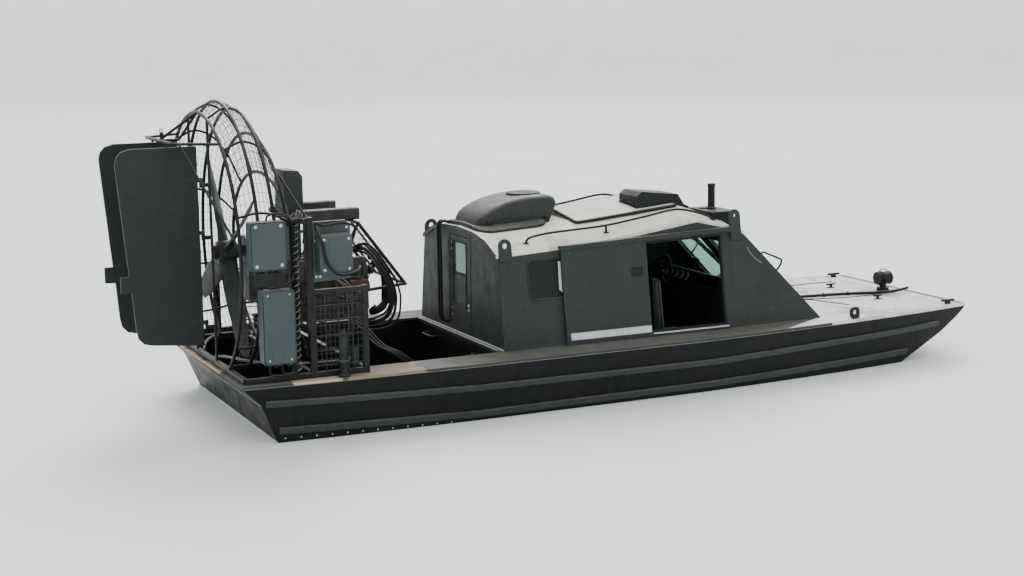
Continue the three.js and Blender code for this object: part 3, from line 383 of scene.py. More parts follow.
class Nodes:
    """Short calls to build a material's nodes."""

    def __init__(self, name):
        self.material = bpy.data.materials.new(name)
        self.material.use_nodes = True
        self.tree = self.material.node_tree
        self.shader = self.tree.nodes["Principled BSDF"]
        self.coords = self.tree.nodes.new("ShaderNodeTexCoord").outputs["Object"]

    def node(self, kind, inputs=(), **settings):
        made = self.tree.nodes.new(kind)
        for key, value in settings.items():
            setattr(made, key, value)
        for key, value in dict(inputs).items():
            self.put(value, made.inputs[key])
        return made

    def put(self, value, socket):
        """Links a value to a socket, or sets it there."""
        if isinstance(value, bpy.types.NodeSocket):
            self.tree.links.new(value, socket)
        else:
            socket.default_value = value

    def noise(self, scale, detail=4, stretch=None, rough=0.55):
        coords = self.coords
        if stretch:
            coords = self.node("ShaderNodeMapping", {"Vector": coords, "Scale": stretch}).outputs[0]
        inputs = {"Vector": coords, "Scale": scale, "Detail": detail, "Roughness": rough}
        return self.node("ShaderNodeTexNoise", inputs).outputs["Fac"]

    def span(self, value, low, high, to_low=0.0, to_high=1.0):
        inputs = {"Value": value, "From Min": low, "From Max": high, "To Min": to_low, "To Max": to_high}
        return self.node("ShaderNodeMapRange", inputs).outputs[0]

    def math(self, operation, a, b=0.0):
        return self.node("ShaderNodeMath", {0: a, 1: b}, operation=operation).outputs[0]

    def mask(self, first, *others):
        """The product of several shares."""
        for other in others:
            first = self.math("MULTIPLY", first, other)
        return first

    def mix(self, share, a, b):
        made = self.node("ShaderNodeMix", data_type="RGBA")
        for key, value in (("Factor_Float", share), ("A_Color", a), ("B_Color", b)):
            self.put(value, next(s for s in made.inputs if s.identifier == key))
        return next(s for s in made.outputs if s.identifier == "Result_Color")

    def set(self, **values):
        """Sets or links the shader's own inputs."""
        for key, value in values.items():
            self.put(value, self.shader.inputs[key.replace("_", " ")])

    def bump(self, height, strength, distance, **inputs):
        inputs = {"Height": height, "Strength": strength, "Distance": distance, **inputs}
        return self.node("ShaderNodeBump", inputs).outputs[0]


def look(name, colour, rough=0.5, metal=0.0, mottle=0.15, streak=0.0, dust=0.0, edge=0.0, grain=(150, 0.0004),
         dust_colour=0xa89f90, edge_colour=0x8a8f8c, streak_colour=0x1a1c1a, patches=0.0, patch_colour=0xa9977f,
         bands=(), coat=0.0, bevel=0.004, shine=0.2):
    """Paint, plastic or metal with mottling, runs, settled dust, worn edges, a fine grain and bands of painted sky
    reflection.
    """
    n = Nodes(name)
    broad = n.noise(1.7, 6)
    close = n.noise(23, 5)
    tone = n.math("ADD", n.span(broad, 0.3, 0.7, -mottle, mottle), n.span(close, 0.3, 0.7, -mottle / 2, mottle / 2))
    base = rgb(colour)
    shade = n.mix(n.span(tone, -0.5, 0.5), scaled(base, 0.55), scaled(base, 1.7, 0.004))
    if streak:
        run = n.noise(1.0, 5, stretch=(26, 26, 1.6), rough=0.6)
        runs = n.mask(n.span(run, 0.52, 0.72), n.span(broad, 0.35, 0.65, 0.2, streak))
        shade = n.mix(runs, shade, rgb(streak_colour))
    if patches:
        where = n.noise(2.6, 7, rough=0.62)
        worn = n.mask(n.span(where, 0.53, 0.60), n.span(close, 0.3, 0.6, 0.5, patches))
        shade = n.mix(worn, shade, rgb(patch_colour))
    # Tan bands laid on the dark aft deck and stern lip: painted sky reflection
    for reflection_colour, start, end, least in bands:
        place = n.node("ShaderNodeSeparateXYZ", {0: n.coords})
        along = n.math("ADD", place.outputs["X"], n.span(n.noise(6, 5), 0.3, 0.7, -0.05, 0.05))
        across = place.outputs["Y"] if least < 0 else n.math("ABSOLUTE", place.outputs["Y"])
        reflection = n.mask(n.span(along, start, start + 0.02), n.span(along, end, end - 0.02),
                      n.span(across, least, least + 0.02), n.span(n.noise(13, 6), 0.3, 0.42, 0.4, 0.95))
        shade = n.mix(reflection, shade, rgb(reflection_colour))
    normal = n.node("ShaderNodeNewGeometry").outputs["Normal"]
    if dust:
        up = n.node("ShaderNodeSeparateXYZ", {0: normal}).outputs["Z"]
        settled = n.mask(n.span(up, 0.45, 0.95), n.span(n.noise(7, 6), 0.35, 0.7, 0.25, dust))
        shade = n.mix(settled, shade, rgb(dust_colour))
    soft = n.node("ShaderNodeBevel", {"Radius": bevel}, samples=4).outputs[0]
    if edge:
        flat = n.node("ShaderNodeVectorMath", {0: soft, 1: normal}, operation="DOT_PRODUCT").outputs["Value"]
        rubbed = n.mask(n.span(flat, 0.995, 0.90), n.span(n.noise(34, 5), 0.42, 0.62, 0, edge))
        shade = n.mix(rubbed, shade, rgb(edge_colour))
    height = n.math("ADD", n.noise(grain[0], 3), n.math("MULTIPLY", n.noise(4.5, 2), 6.0))
    n.set(Base_Color=shade, Normal=n.bump(height, 1.0, grain[1], Normal=soft), Metallic=metal, Coat_Weight=coat,
          Roughness=n.span(n.noise(9, 6), 0.3, 0.7, max(rough - 0.1, 0.05), min(rough + 0.12, 1)),
          Coat_Roughness=0.25, Specular_IOR_Level=shine)
    return n.material


def window_glass():
    """Tinted glass with a thin film of dirt."""
    n = Nodes("window")
    film = n.span(n.noise(14, 6), 0.4, 0.75, 0.0, 0.25)
    n.set(Base_Color=n.mix(film, rgb(0x9ad4bf), rgb(0x86a399)), Transmission_Weight=0.9, IOR=1.45,
          Roughness=n.span(n.noise(6, 6), 0.4, 0.7, 0.02, 0.13))
    return n.material


def wave(n, scale, way):
    return n.node("ShaderNodeTexWave", {"Vector": n.coords, "Scale": scale}, bands_direction=way).outputs["Fac"]


def lens_glass():
    n = Nodes("lens")
    n.set(Base_Color=rgb(0xe4ecea), Transmission_Weight=0.7, IOR=1.5,
          Normal=n.bump(wave(n, 60.0, "Z"), 0.4, 0.001),
          Roughness=n.span(n.noise(40, 4), 0.3, 0.7, 0.04, 0.12))
    return n.material


def woven(name, colour):
    """A cloth or vinyl cover with a fine weave and soft wear."""
    n = Nodes(name)
    wear = n.span(n.noise(12, 6), 0.35, 0.7)
    base = rgb(colour)
    threads = [wave(n, 220.0, way) for way in "XYZ"]
    weave = n.math("ADD", n.math("MAXIMUM", threads[0], threads[1]), threads[2])
    n.set(Base_Color=n.mix(wear, base, scaled(base, 1.9, 0.006)), Roughness=n.span(wear, 0, 1, 0.85, 0.7),
          Normal=n.bump(n.math("ADD", weave, n.noise(300, 3)), 0.5, 0.0006),
          Sheen_Weight=0.25, Sheen_Roughness=0.5)
    return n.material


PAINTS = {
    "hull": dict(colour=0x0b0e0d, rough=0.42, mottle=0.2, streak=0.16, dust=0.2, edge=0.3, streak_colour=0x2a2d28,
                 shine=0.15),
    "strake": dict(colour=0x2a2f2c, mottle=0.18, streak=0.25, dust=0.1, edge=0.3),
    "panel": dict(colour=0x262a29, rough=0.52, mottle=0.13, streak=0.25, dust=0.2, edge=0.3),
    "roof": dict(colour=0xd0c8bc, rough=0.55, mottle=0.1, patches=0.35, patch_colour=0x8d8577, edge=0.3,
                 edge_colour=0x6a6a62),
    "foredeck": dict(colour=0xe4dbcf, rough=0.6, mottle=0.14, patches=0.5, patch_colour=0x857868, edge=0.4,
                     edge_colour=0x4a4a44, grain=(420, 0.0008)),
    # A band of painted sky reflection is a colour, x from and to, and the least distance from the middle, or least y
    # where it is negative
    "deck": dict(colour=0x2d3131, rough=0.6, mottle=0.2, dust=0.15, edge=0.4, grain=(420, 0.0008),
                 bands=((0xb9a68d, -3.285, -2.87, 1.05), (0x7f715f, -2.83, -2.115, 0.9))),
    "lip": dict(colour=0x2d3131, rough=0.6, mottle=0.2, dust=0.15, edge=0.4,
                bands=((0xb39a80, -3.69, -3.615, -0.57),)),
    "box": dict(colour=0x384243, rough=0.45, mottle=0.08, streak=0.2, dust=0.3, edge=0.4),
    "tube": dict(colour=0x171a1a, rough=0.42, metal=0.2, mottle=0.2, dust=0.12, edge=0.4, bevel=0.002),
    "track": dict(colour=0xa4a8aa, rough=0.34, metal=0.85, mottle=0.08, streak=0.15, bevel=0.002),
    "rubber": dict(colour=0x141515, rough=0.75, mottle=0.2, dust=0.35, grain=(260, 0.0006), bevel=0.002),
    "blade": dict(colour=0x1f2221, rough=0.42, mottle=0.12, edge=0.15, bevel=0.002),
    "rudder": dict(colour=0x202423, rough=0.55, mottle=0.1, streak=0.12, dust=0.3, edge=0.1),
    "engine": dict(colour=0x3c3a37, rough=0.6, metal=0.5, mottle=0.25, streak=0.4, streak_colour=0x4a2b1d, dust=0.3,
                   edge=0.5),
    "exhaust": dict(colour=0x2a2b2b, metal=0.5, mottle=0.25, streak=0.3, streak_colour=0x4b3a30, dust=0.4, edge=0.6,
                    edge_colour=0xa5a7a4),
    "trim": dict(colour=0x191c1c, rough=0.6, dust=0.05, edge=0.3, bevel=0.002),
    "wire": dict(colour=0x3c3f3e, rough=0.45, metal=0.6, mottle=0.2, bevel=0.001),
    "washer": dict(colour=0xb4b8b4, rough=0.4, metal=0.6, streak=0.2, bevel=0.001),
    "copper": dict(colour=0x43362f, metal=0.6, mottle=0.35, streak=0.3, bevel=0.001),
    "rust": dict(colour=0x35211d, rough=0.7, metal=0.2, mottle=0.35, streak=0.3, bevel=0.002),
    "canister": dict(colour=0x33373a, rough=0.4, metal=0.3, mottle=0.12, edge=0.3, bevel=0.003),
    "wrap": dict(colour=0x6a6e6b, mottle=0.2, dust=0.2, bevel=0.001),
    # dusk: an opaque dark finish in place of glass, painted shade of the cabin seen through it
    "dusk": dict(colour=0x1c2523, rough=0.3, mottle=0.1, grain=(150, 0.00005), bevel=0.001, shine=0.06),
    # pale: the painted highlight on the aft windows' forward edges
    "pale": dict(colour=0xc3cbc8, rough=0.3, mottle=0.1, bevel=0.001),
    "gasket": dict(colour=0x1a1c1c, rough=0.7, dust=0.3, grain=(300, 0.0004), bevel=0.001),
    "screen": dict(colour=0x0c1012, rough=0.18, mottle=0.1, coat=0.6, bevel=0.001),
}
LOOKS = {name: look(name, **paint) for name, paint in PAINTS.items()}
LOOKS.update(window=window_glass(), seat=woven("seat", 0x24282c), lens=lens_glass())
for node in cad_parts.values():
    node.data.materials[0] = LOOKS[node.data.materials[0].name.split(".")[0]]
for finish, *names in (
    # finish, nodes that have it in place of their slot's
    # The aft side windows get dusk: painted shade of the cabin behind them
    ("dusk", "side_window_aft_port", "side_window_aft_starboard"), ("rudder", "rudder_port", "rudder_starboard"),
    ("trim", "antenna_box", "roof_case"), ("panel", "door_track_port", "door_track_starboard"),
    ("lip", "stern_deck"),
):
    for name in names:
        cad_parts[name].data.materials[0] = LOOKS[finish]


# Shapes gathered into one mesh
PLACES = {
    # how an outline's two values and its height become x, y and z
    "x": lambda a, b, c: (c, a, b),
    "y": lambda a, b, c: (a, c, b),
    "z": lambda a, b, c: (a, b, c),
}


class Shapes:
    """Closed shapes gathered into one piece."""

    def __init__(self):
        self.verts = []
        self.faces = []

    def add(self, verts, faces):
        start = len(self.verts)
        self.verts += [Vector(v) for v in verts]
        self.faces += [[start + i for i in face] for face in faces]

    def rings(self, rings, closed=False):
        """Skins rings of points, closed into a loop or capped at both ends."""
        count = len(rings)
        sides = len(rings[0])
        faces = []
        for r in range(count if closed else count - 1):
            here, there = r * sides, ((r + 1) % count) * sides
            for i in range(sides):
                j = (i + 1) % sides
                faces.append([here + i, here + j, there + j, there + i])
        if not closed:
            faces.append(list(range(sides))[::-1])
            faces.append([(count - 1) * sides + i for i in range(sides)])
        self.add([p for ring in rings for p in ring], faces)

    def tube(self, points, radius, sides=10, closed=False):
        points = [Vector(p) for p in points]
        count = len(points)
        radii = radius if isinstance(radius, (list, tuple)) else [radius] * count
        side = (points[1] - points[0]).orthogonal().normalized()
        rings = []
        for i, point in enumerate(points):
            before = points[i - 1] if i or closed else point
            after = points[(i + 1) % count] if closed or i + 1 < count else point
            way = (after - before).normalized()
            side = (side - way * side.dot(way)).normalized()
            rings.append(circle(point, side, way.cross(side), radii[i], sides))
        self.rings(rings, closed)

    def turned(self, at, way, profile, sides=24):
        """A round part along way: its profile holds distances from a point and radii."""
        self.tube([Vector(at) + Vector(way) * d for d, _ in profile], [r for _, r in profile], sides)

    def box(self, low, high):
        (x0, y0, z0), (x1, y1, z1) = low, high
        verts = [(x, y, z) for x in (x0, x1) for y in (y0, y1) for z in (z0, z1)]
        faces = [[0, 1, 3, 2], [4, 6, 7, 5], [0, 4, 5, 1], [2, 3, 7, 6], [0, 2, 6, 4], [1, 5, 7, 3]]
        self.add(verts, faces)

    def slab(self, outline, low, high, axis="y"):
        """A flat outline made solid between two values of the third axis."""
        self.rings([[PLACES[axis](a, b, c) for a, b in outline] for c in (low, high)])

    def ring_plate(self, outer, inner, low, high, axis="y"):
        """A flat plate between two outlines of as many points each."""
        loops = ((outer, low), (inner, low), (inner, high), (outer, high))
        self.rings([[PLACES[axis](a, b, c) for a, b in outline] for outline, c in loops], closed=True)

    def lean_on(self, side):
        """Moves shapes drawn as (x, distance out, z) onto the leaning cabin side."""
        for v in self.verts:
            v.y = side * (side_y(v.z) + v.y)
        return self

    def bolt(self, at, way, size=0.009, washer=True):
        """A hexagon head on a round washer, standing out along way."""
        at, way = Vector(at), Vector(way).normalized()
        if washer:
            self.tube([at, at + way * 0.002], size * 1.35, 14)
        self.tube([at, at + way * size * 0.75], size * 0.8, 6)

    def stud(self, x, z, ends, head, radius, size):
        """A broad washer between two values of y, and a bolt on it that faces starboard."""
        self.tube([(x, y, z) for y in ends], radius, 18)
        self.bolt((x, head, z), (0, -1, 0), size, washer=False)

    def flat_bar(self, start, end, half_wide, half_deep):
        way = (end - start).normalized()
        wide = (PORT - way * way.y).normalized()
        deep = way.cross(wide)
        corners = ((1, 1), (-1, 1), (-1, -1), (1, -1))
        self.rings([[at + wide * a * half_wide + deep * b * half_deep for a, b in corners] for at in (start, end)])

    def make(self, name, finish, body="boat", bevel=0.0, smooth=40, subdivide=0):
        """The piece itself, in its finish and on its body."""
        mesh = bpy.data.meshes.new(name)
        mesh.from_pydata(self.verts, [], self.faces)
        mesh.validate()
        outward = bmesh.new()
        outward.from_mesh(mesh)
        bmesh.ops.recalc_face_normals(outward, faces=outward.faces)
        outward.to_mesh(mesh)
        outward.free()
        mesh.materials.append(LOOKS[finish])
        piece = bpy.data.objects.new(name, mesh)
        bpy.context.scene.collection.objects.link(piece)
        mesh.shade_smooth()
        mesh.set_sharp_from_angle(angle=math.radians(smooth))
        if bevel:
            made = piece.modifiers.new("bevel", "BEVEL")
            made.width = bevel
            made.segments = 2
            made.limit_method = "ANGLE"
            made.angle_limit = math.radians(50)
        if subdivide:
            made = piece.modifiers.new("round", "SUBSURF")
            made.levels = made.render_levels = subdivide
        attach(piece, body)
        return piece


def several(count):
    return [Shapes() for _ in range(count)]


# Camera, light and floor
def camera():
    right = Vector((math.cos(CAMERA_YAW), math.sin(CAMERA_YAW), 0))
    ahead = Vector((-math.sin(CAMERA_YAW) * math.cos(CAMERA_PITCH), math.cos(CAMERA_YAW) * math.cos(CAMERA_PITCH),
                    -math.sin(CAMERA_PITCH)))
    up = right.cross(ahead)
    across = right * math.cos(CAMERA_ROLL) + up * math.sin(CAMERA_ROLL)
    above = up * math.cos(CAMERA_ROLL) - right * math.sin(CAMERA_ROLL)
    data = bpy.data.cameras.new("camera")
    data.lens = LENS
    data.sensor_width = 36
    data.clip_end = 2000
    view = bpy.data.objects.new("camera", data)
    view.matrix_world = Matrix((across, above, -ahead)).transposed().to_4x4()
    view.location = CAMERA_AT
    bpy.context.scene.collection.objects.link(view)
    bpy.context.scene.camera = view


def sun(name, strength, turn, angle):
    data = bpy.data.lights.new(name, "SUN")
    data.energy = strength
    data.angle = math.radians(angle)
    lamp = bpy.data.objects.new(name, data)
    lamp.rotation_euler = [math.radians(a) for a in turn]
    bpy.context.scene.collection.objects.link(lamp)


def floor():
    """A pale floor whose rim bends up like a bowl and grows brighter there."""
    n = Nodes("floor")
    rise = n.node("ShaderNodeSeparateXYZ", {0: n.coords}).outputs["Z"]
    n.set(Base_Color=n.mix(n.span(n.noise(0.8, 4), 0.3, 0.7), rgb(0xf0f1ef), rgb(0xf5f6f4)), Roughness=0.7,
          Emission_Color=rgb(0xf4f6f6), Emission_Strength=n.span(rise, WATERLINE, WATERLINE + BOWL / 2, 0.0, 0.3))
    sides, bend = 96, 12
    profile = [(FLOOR_RADIUS + BOWL * math.sin(a), WATERLINE + BOWL * (1 - math.cos(a)))
               for a in even(0, math.pi / 2, bend)]
    verts = [(r * math.cos(a), r * math.sin(a), z) for r, z in profile for a in turns(sides)]
    faces = [list(range(sides))]
    for k in range(0, bend * sides, sides):
        for i in range(sides):
            j = (i + 1) % sides
            faces.append([k + i, k + sides + i, k + sides + j, k + j])
    mesh = bpy.data.meshes.new("floor")
    mesh.from_pydata(verts, [], faces)
    mesh.shade_smooth()
    mesh.materials.append(n.material)
    ground = bpy.data.objects.new("floor", mesh)
    bpy.context.scene.collection.objects.link(ground)


def light():
    world = bpy.data.worlds.new("studio")
    world.use_nodes = True
    background = world.node_tree.nodes["Background"]
    background.inputs["Color"].default_value = (0.86, 0.9, 0.92, 1)
    background.inputs["Strength"].default_value = 1.3
    bpy.context.scene.world = world
    sun("key", 2.5, (-48, 8, -20), 40)
    sun("fill", 0.5, (55, 0, -30), 60)


# Smooth tubes that stand for the CAD part's plain ones
def hoop_point(row, degrees):
    x, wide, high = row
    up = math.cos(math.radians(degrees))
    return Vector((x, wide * math.sin(math.radians(degrees)), CAGE_Z + up * (high if up > 0 else wide)))


def hoop_limit(row):
    """The angle at which a hoop meets its foot, or a half turn where it is whole."""
    if row[1] < CAGE_Z - CAGE_FOOT:
        return 180.0
    return math.degrees(math.acos((CAGE_FOOT - CAGE_Z) / row[1]))


def hoop(shapes, row, radius, steps=88, sides=10):
    limit = hoop_limit(row)
    closed = limit == 180
    points = [hoop_point(row, degrees) for degrees in even(-limit, limit, steps)]
    shapes.tube(points[:-1] if closed else points, radius, sides, closed)


def cage():
    made = Shapes()
    for row in CAGE:
        hoop(made, row, HOOP_TUBE)
    for degrees in RIB_ANGLES:
        made.tube(curve([hoop_point(row, degrees) for row in CAGE], 6), RIB_TUBE)
    low = BASE_TOP - 0.0007
    head = CAGE_Z + math.sqrt(CAGE[0][1] ** 2 - RUDDER_Y ** 2)
    for side, _ in SIDES:
        foot = hoop_point(CAGE[0], side * 142).y
        made.box((CAGE_BACK - HOOP_TUBE, foot - HOOP_TUBE, low),
                 (STAND_X[2] + 0.02, foot + HOOP_TUBE, low + 2 * HOOP_TUBE))
        y = side * RUDDER_Y
        made.tube([(CAGE_BACK, y, low), (CAGE_BACK, y, head)], POST_TUBE, 12)
        for z in HINGE_Z:
            made.box((RUDDER_AXIS, y - 0.008, z - 0.016), (CAGE_BACK, y + 0.008, z + 0.016))
            made.tube([(RUDDER_AXIS, y, z - 0.02), (RUDDER_AXIS, y, z + 0.02)], 0.014, 16)
    for row, degrees, x in STAYS:
        made.tube([hoop_point(CAGE[row], degrees), (x, STAND_TUBE / 2 - STAND_Y, 1.88)], RIB_TUBE)
    piece = made.make("cage", "tube")
    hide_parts("propeller_cage")


def cage_mesh():
    """The wire mesh that covers the cage: wires round it and wires along it."""
    made = Shapes()
    rows = curve(CAGE, 4)
    for row in rows:
        hoop(made, row, MESH_WIRE, 72, 4)
    limit = hoop_limit(CAGE[0])
    for degrees in even(-limit, limit, 76)[1:-1]:
        made.tube([hoop_point(row, degrees) for row in rows], MESH_WIRE, 4)
    made.make("cage_mesh", "wire")


def top_frame():
    """The rudders' top frame, its braces and the stern light on it."""
    made, lens = several(2)
    middle, truss, crest = (TOP_X, 0, TOP_Z), (TRUSS_X, 0, TOP_Z), (CAGE_BACK, 0, CAGE_Z + CAGE[0][2])
    lamp = Vector((TOP_X + 0.025, 0, TOP_Z))
    made.tube([(TOP_X, -TOP_HALF, TOP_Z), (TOP_X, TOP_HALF, TOP_Z)], 0.015, 12)
    for ends in ((middle, truss), (truss, crest), (middle, crest)):
        made.tube(ends, 0.012)
    made.tube([lamp + UP * 0.012, lamp + UP * 0.07], 0.016, 16)
    for side, _ in SIDES:
        corner = Vector((TOP_X, side * TOP_HALF, TOP_Z))
        end = Vector((CAGE_BACK, side * TOP_HOOP_Y, TOP_Z))
        made.tube([corner, end], 0.012)
        made.tube([corner.lerp(end, BRACE), hoop_point(CAGE[0], side * 84)], 0.01)
    piece = made.make("rudder_frame_tubes", "tube", smooth=50)
    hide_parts("rudder_top_frame")
    lens.turned(lamp, UP, ((0.07, 0.014), (0.074, 0.0178), (0.098, 0.0178), (0.104, 0.01)), 16)
    lens.make("stern_light_lens", "lens", smooth=50)


def handrails():
    for side, name in SIDES:
        made = Shapes()
        points = [(x, side * HANDRAIL_Y, crown_at(x, HANDRAIL_Y) + over) for x, over in HANDRAIL]
        made.tube(curve(points, 8), HANDRAIL_TUBE, 12)
        for i in HANDRAIL_FEET:
            x, y, z = points[i]
            roof = crown_at(x, HANDRAIL_Y)
            made.tube([(x, y, roof - 0.004), (x, y, z)], HANDRAIL_TUBE, 12)
            made.tube([(x, y, roof - 0.003), (x, y, roof + 0.006)], 0.026, 16)
            for dx in (-0.019, 0.019):
                made.bolt((x + dx, y, roof + 0.005), UP, 0.005, washer=False)
        piece = made.make("handrail_" + name, "tube", smooth=50)
        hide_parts("roof_handrail_" + name)


def hoses():
    """Ribbed hoses down the aft wall, and the two smooth ones at the engine's front."""
    for name, y in (("inner", 0.3), ("outer", 0.352)):
        points = resample(curve([(x, y, z) for x, z in AIR_HOSE], 8), 0.0035)
        made = Shapes()
        made.tube(points, [0.0128 if i % 3 else 0.0112 for i in range(len(points))], 12)
        piece = made.make("ribbed_hose_" + name, "rubber", smooth=60)
        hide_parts("air_hose_" + name)
    near, bend = ENGINE_FRONT + 0.0003, ENGINE_FRONT + 0.045
    for name, y, drop in (("upper", -0.1, 0), ("lower", -0.175, 0.06)):
        high, low = 1.4 - drop, 0.915 + drop / 2
        route = [
            (near, high), (bend, high), (-2.06, 1.33 - drop), (-2.034, 1.2 - drop), (-2.034, 1.06),
            (-2.05, 0.95 + drop), (bend, low), (near, low),
        ]
        made = Shapes()
        made.tube(curve([(x, y, z) for x, z in route], 8), 0.03, 20)
        for z in (high, low):
            made.tube([(ENGINE_FRONT + 0.014, y, z), (ENGINE_FRONT + 0.027, y, z)], 0.0325, 20)
            made.box((ENGINE_FRONT + 0.013, y - 0.008, z + 0.03), (ENGINE_FRONT + 0.028, y + 0.008, z + 0.041))
        piece = made.make("engine_hose_" + name, "rubber", smooth=50)
        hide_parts("coolant_hose_" + name)


def front_guard():
    made, mesh = several(2)
    post = STAND_X[3]
    (top_x, top_z), (tip_x, tip_z), (low, high) = GUARD_TOP, GUARD_TIP, GUARD_Z
    for side, _ in SIDES:
        y, out = side * GUARD_HALF, side * GUARD_OUT
        corners = [
            (post, out, high), (post, y, high), (top_x, y, top_z), (tip_x, y, tip_z), (post, y, low), (post, out, low),
        ]
        for ends in zip(corners, corners[1:] + corners[:1]):
            made.tube(ends, GUARD_TUBE)
        made.tube([(post, out, 1.25), (post, side * (STAND_Y - STAND_TUBE / 2), 1.25)], GUARD_TUBE)
        made.tube([(top_x, side * 0.24, top_z), (tip_x, side * 0.24, tip_z)], 0.009)
    reach = GUARD_HALF + GUARD_TUBE / 2
    for x, z in (GUARD_TOP, GUARD_TIP):
        made.tube([(x, -reach, z), (x, reach, z)], GUARD_TUBE)
    piece = made.make("guard_tubes", "tube", smooth=50)
    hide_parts("front_guard")
    for x, z in zip(even(top_x, tip_x, 9)[1:-1], even(top_z, tip_z, 9)[1:-1]):
        mesh.tube([(x, -GUARD_HALF, z), (x, GUARD_HALF, z)], 0.0025, 6)
    for y in even(-GUARD_HALF, GUARD_HALF, 12)[1:-1]:
        mesh.tube([(top_x, y, top_z), (tip_x, y, tip_z)], 0.0025, 6)
    mesh.make("guard_wires", "wire")


def propeller():
    made = Shapes()
    made.turned(PROP, AHEAD, HUB, 40)
    for a in turns(8, 0.5):
        made.bolt(PROP + Vector((-0.073, 0.077 * math.cos(a), 0.077 * math.sin(a))), -AHEAD, 0.009)
    rows = [[a + (b - a) * k / 4 for a, b in zip(*pair)] for pair in zip(BLADE, BLADE[1:]) for k in range(4)]
    radius, chord, thick, twist = BLADE[-1]
    rows += [(radius - 0.006, chord, thick, twist), (radius, chord * 0.6, thick * 0.5, twist)]
    for blade in range(4):
        turn = math.radians(-30 + 90 * blade)
        rings = []
        for radius, chord, thick, twist in rows:
            a = math.radians(twist)
            ring = []
            for f in turns(20):
                c = chord / 2 * math.cos(f)
                t = thick / 2 * math.sin(f) * (1 - 0.15 * math.cos(f))
                x = c * math.sin(a) + t * math.cos(a)
                y = c * math.cos(a) - t * math.sin(a)
                ring.append(PROP + Vector((x, y * math.cos(turn) - radius * math.sin(turn),
                                           y * math.sin(turn) + radius * math.cos(turn))))
            rings.append(ring)
        made.rings(rings)
    piece = made.make("propeller_blades", "blade", "propeller", smooth=55)
    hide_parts("propeller")


def steering_wheel():
    made = Shapes()
    axis = Vector((math.cos(WHEEL_RAKE), 0, -math.sin(WHEEL_RAKE)))
    up = Vector((math.sin(WHEEL_RAKE), 0, math.cos(WHEEL_RAKE)))
    made.tube(circle(WHEEL_AT, PORT, up, WHEEL_RADIUS, 56), 0.0138, 12, closed=True)
    for a in turns(3, 0.75):
        made.tube([WHEEL_AT + axis * 0.01, WHEEL_AT + (PORT * math.cos(a) + up * math.sin(a)) * 0.172], 0.009)
    made.turned(WHEEL_AT, axis, ((-0.012, 0.03), (-0.004, 0.04), (0.02, 0.04)))
    made.turned(WHEEL_AT, axis, ((0.018, 0.024), (0.15, 0.024)), 20)
    piece = made.make("wheel_rim", "rubber", smooth=50)
    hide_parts("steering_wheel")


# Cushions of the two seats
def cushion(name, origin, along, across, out, size, crown, seams):
    """A crowned closed cushion: along and across span its face, out points to who sits on it."""
    length, width, thick = size
    n = 36
    made, welt = several(2)
    verts, index = [], {}
    key = lambda g, i, j: (0 if i in (0, n) or j in (0, n) else g, i, j)
    for g, i, j in ((g, i, j) for g in (0, 1) for i in range(n + 1) for j in range(n + 1)):
        if key(g, i, j) in index:
            continue
        u, v = 2 * i / n - 1, 2 * j / n - 1
        edge = ((1 - abs(u) ** 6) * (1 - abs(v) ** 6)) ** 0.4
        h = -thick / 2 * edge
        if g == 0:
            sewn = sum(0.011 * math.exp(-((u - s) / 0.035) ** 2) for s in seams)
            h = thick / 2 * edge + (crown * (1 - u * u) * (1 - v * v) - sewn * edge) * edge
        wide_u = u * (1 - 0.028 * (1 - v * v)) * length / 2
        wide_v = v * (1 - 0.028 * (1 - u * u)) * width / 2
        index[key(g, i, j)] = len(verts)
        verts.append(origin + along * wide_u + across * wide_v + out * h)
    faces = []
    for g, i, j in ((g, i, j) for g in (0, 1) for i in range(n) for j in range(n)):
        faces.append([index[key(g, a, b)] for a, b in ((i, j), (i + 1, j), (i + 1, j + 1), (i, j + 1))])
    made.add(verts, faces)
    piece = made.make(name, "seat", smooth=180, subdivide=1)
    rim = [(i, 0) for i in range(n)] + [(n, j) for j in range(n)]
    rim += [(n - i, n - j) for i, j in rim]
    welt.tube([verts[index[0, i, j]] for i, j in rim], 0.0045, 8, closed=True)
    welt.make(name + "_welt", "gasket", smooth=60)
    return piece


def seats():
    lean = Vector((-0.055, 0, 0.55)).normalized()
    front = Vector((lean.z, 0, -lean.x))
    for side, name in SIDES:
        y = side * SEAT_Y
        base = cushion("seat_base_" + name, Vector((0.648, y, 0.478)), AHEAD, PORT, UP, (0.47, 0.45, 0.088), 0.014,
                       (-0.36, 0.32))
        cushion("seat_back_" + name, Vector((0.448, y, 0.8)), lean, PORT, front, (0.53, 0.44, 0.08), 0.016,
                (-0.36, 0.34))
        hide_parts("seat_" + name)
        shell = Shapes()
        shell.turned((0.64, y, 0), UP, PEDESTAL, 32)
        shell.box((0.41, y - 0.205, 0.421), (0.86, y + 0.205, 0.434))
        shell.slab([(0.398, 0.434), (0.412, 0.434), (0.386, 1.06), (0.372, 1.06)], y - 0.2, y + 0.2)
        shell.make("seat_shell_" + name, "trim", bevel=0.003)


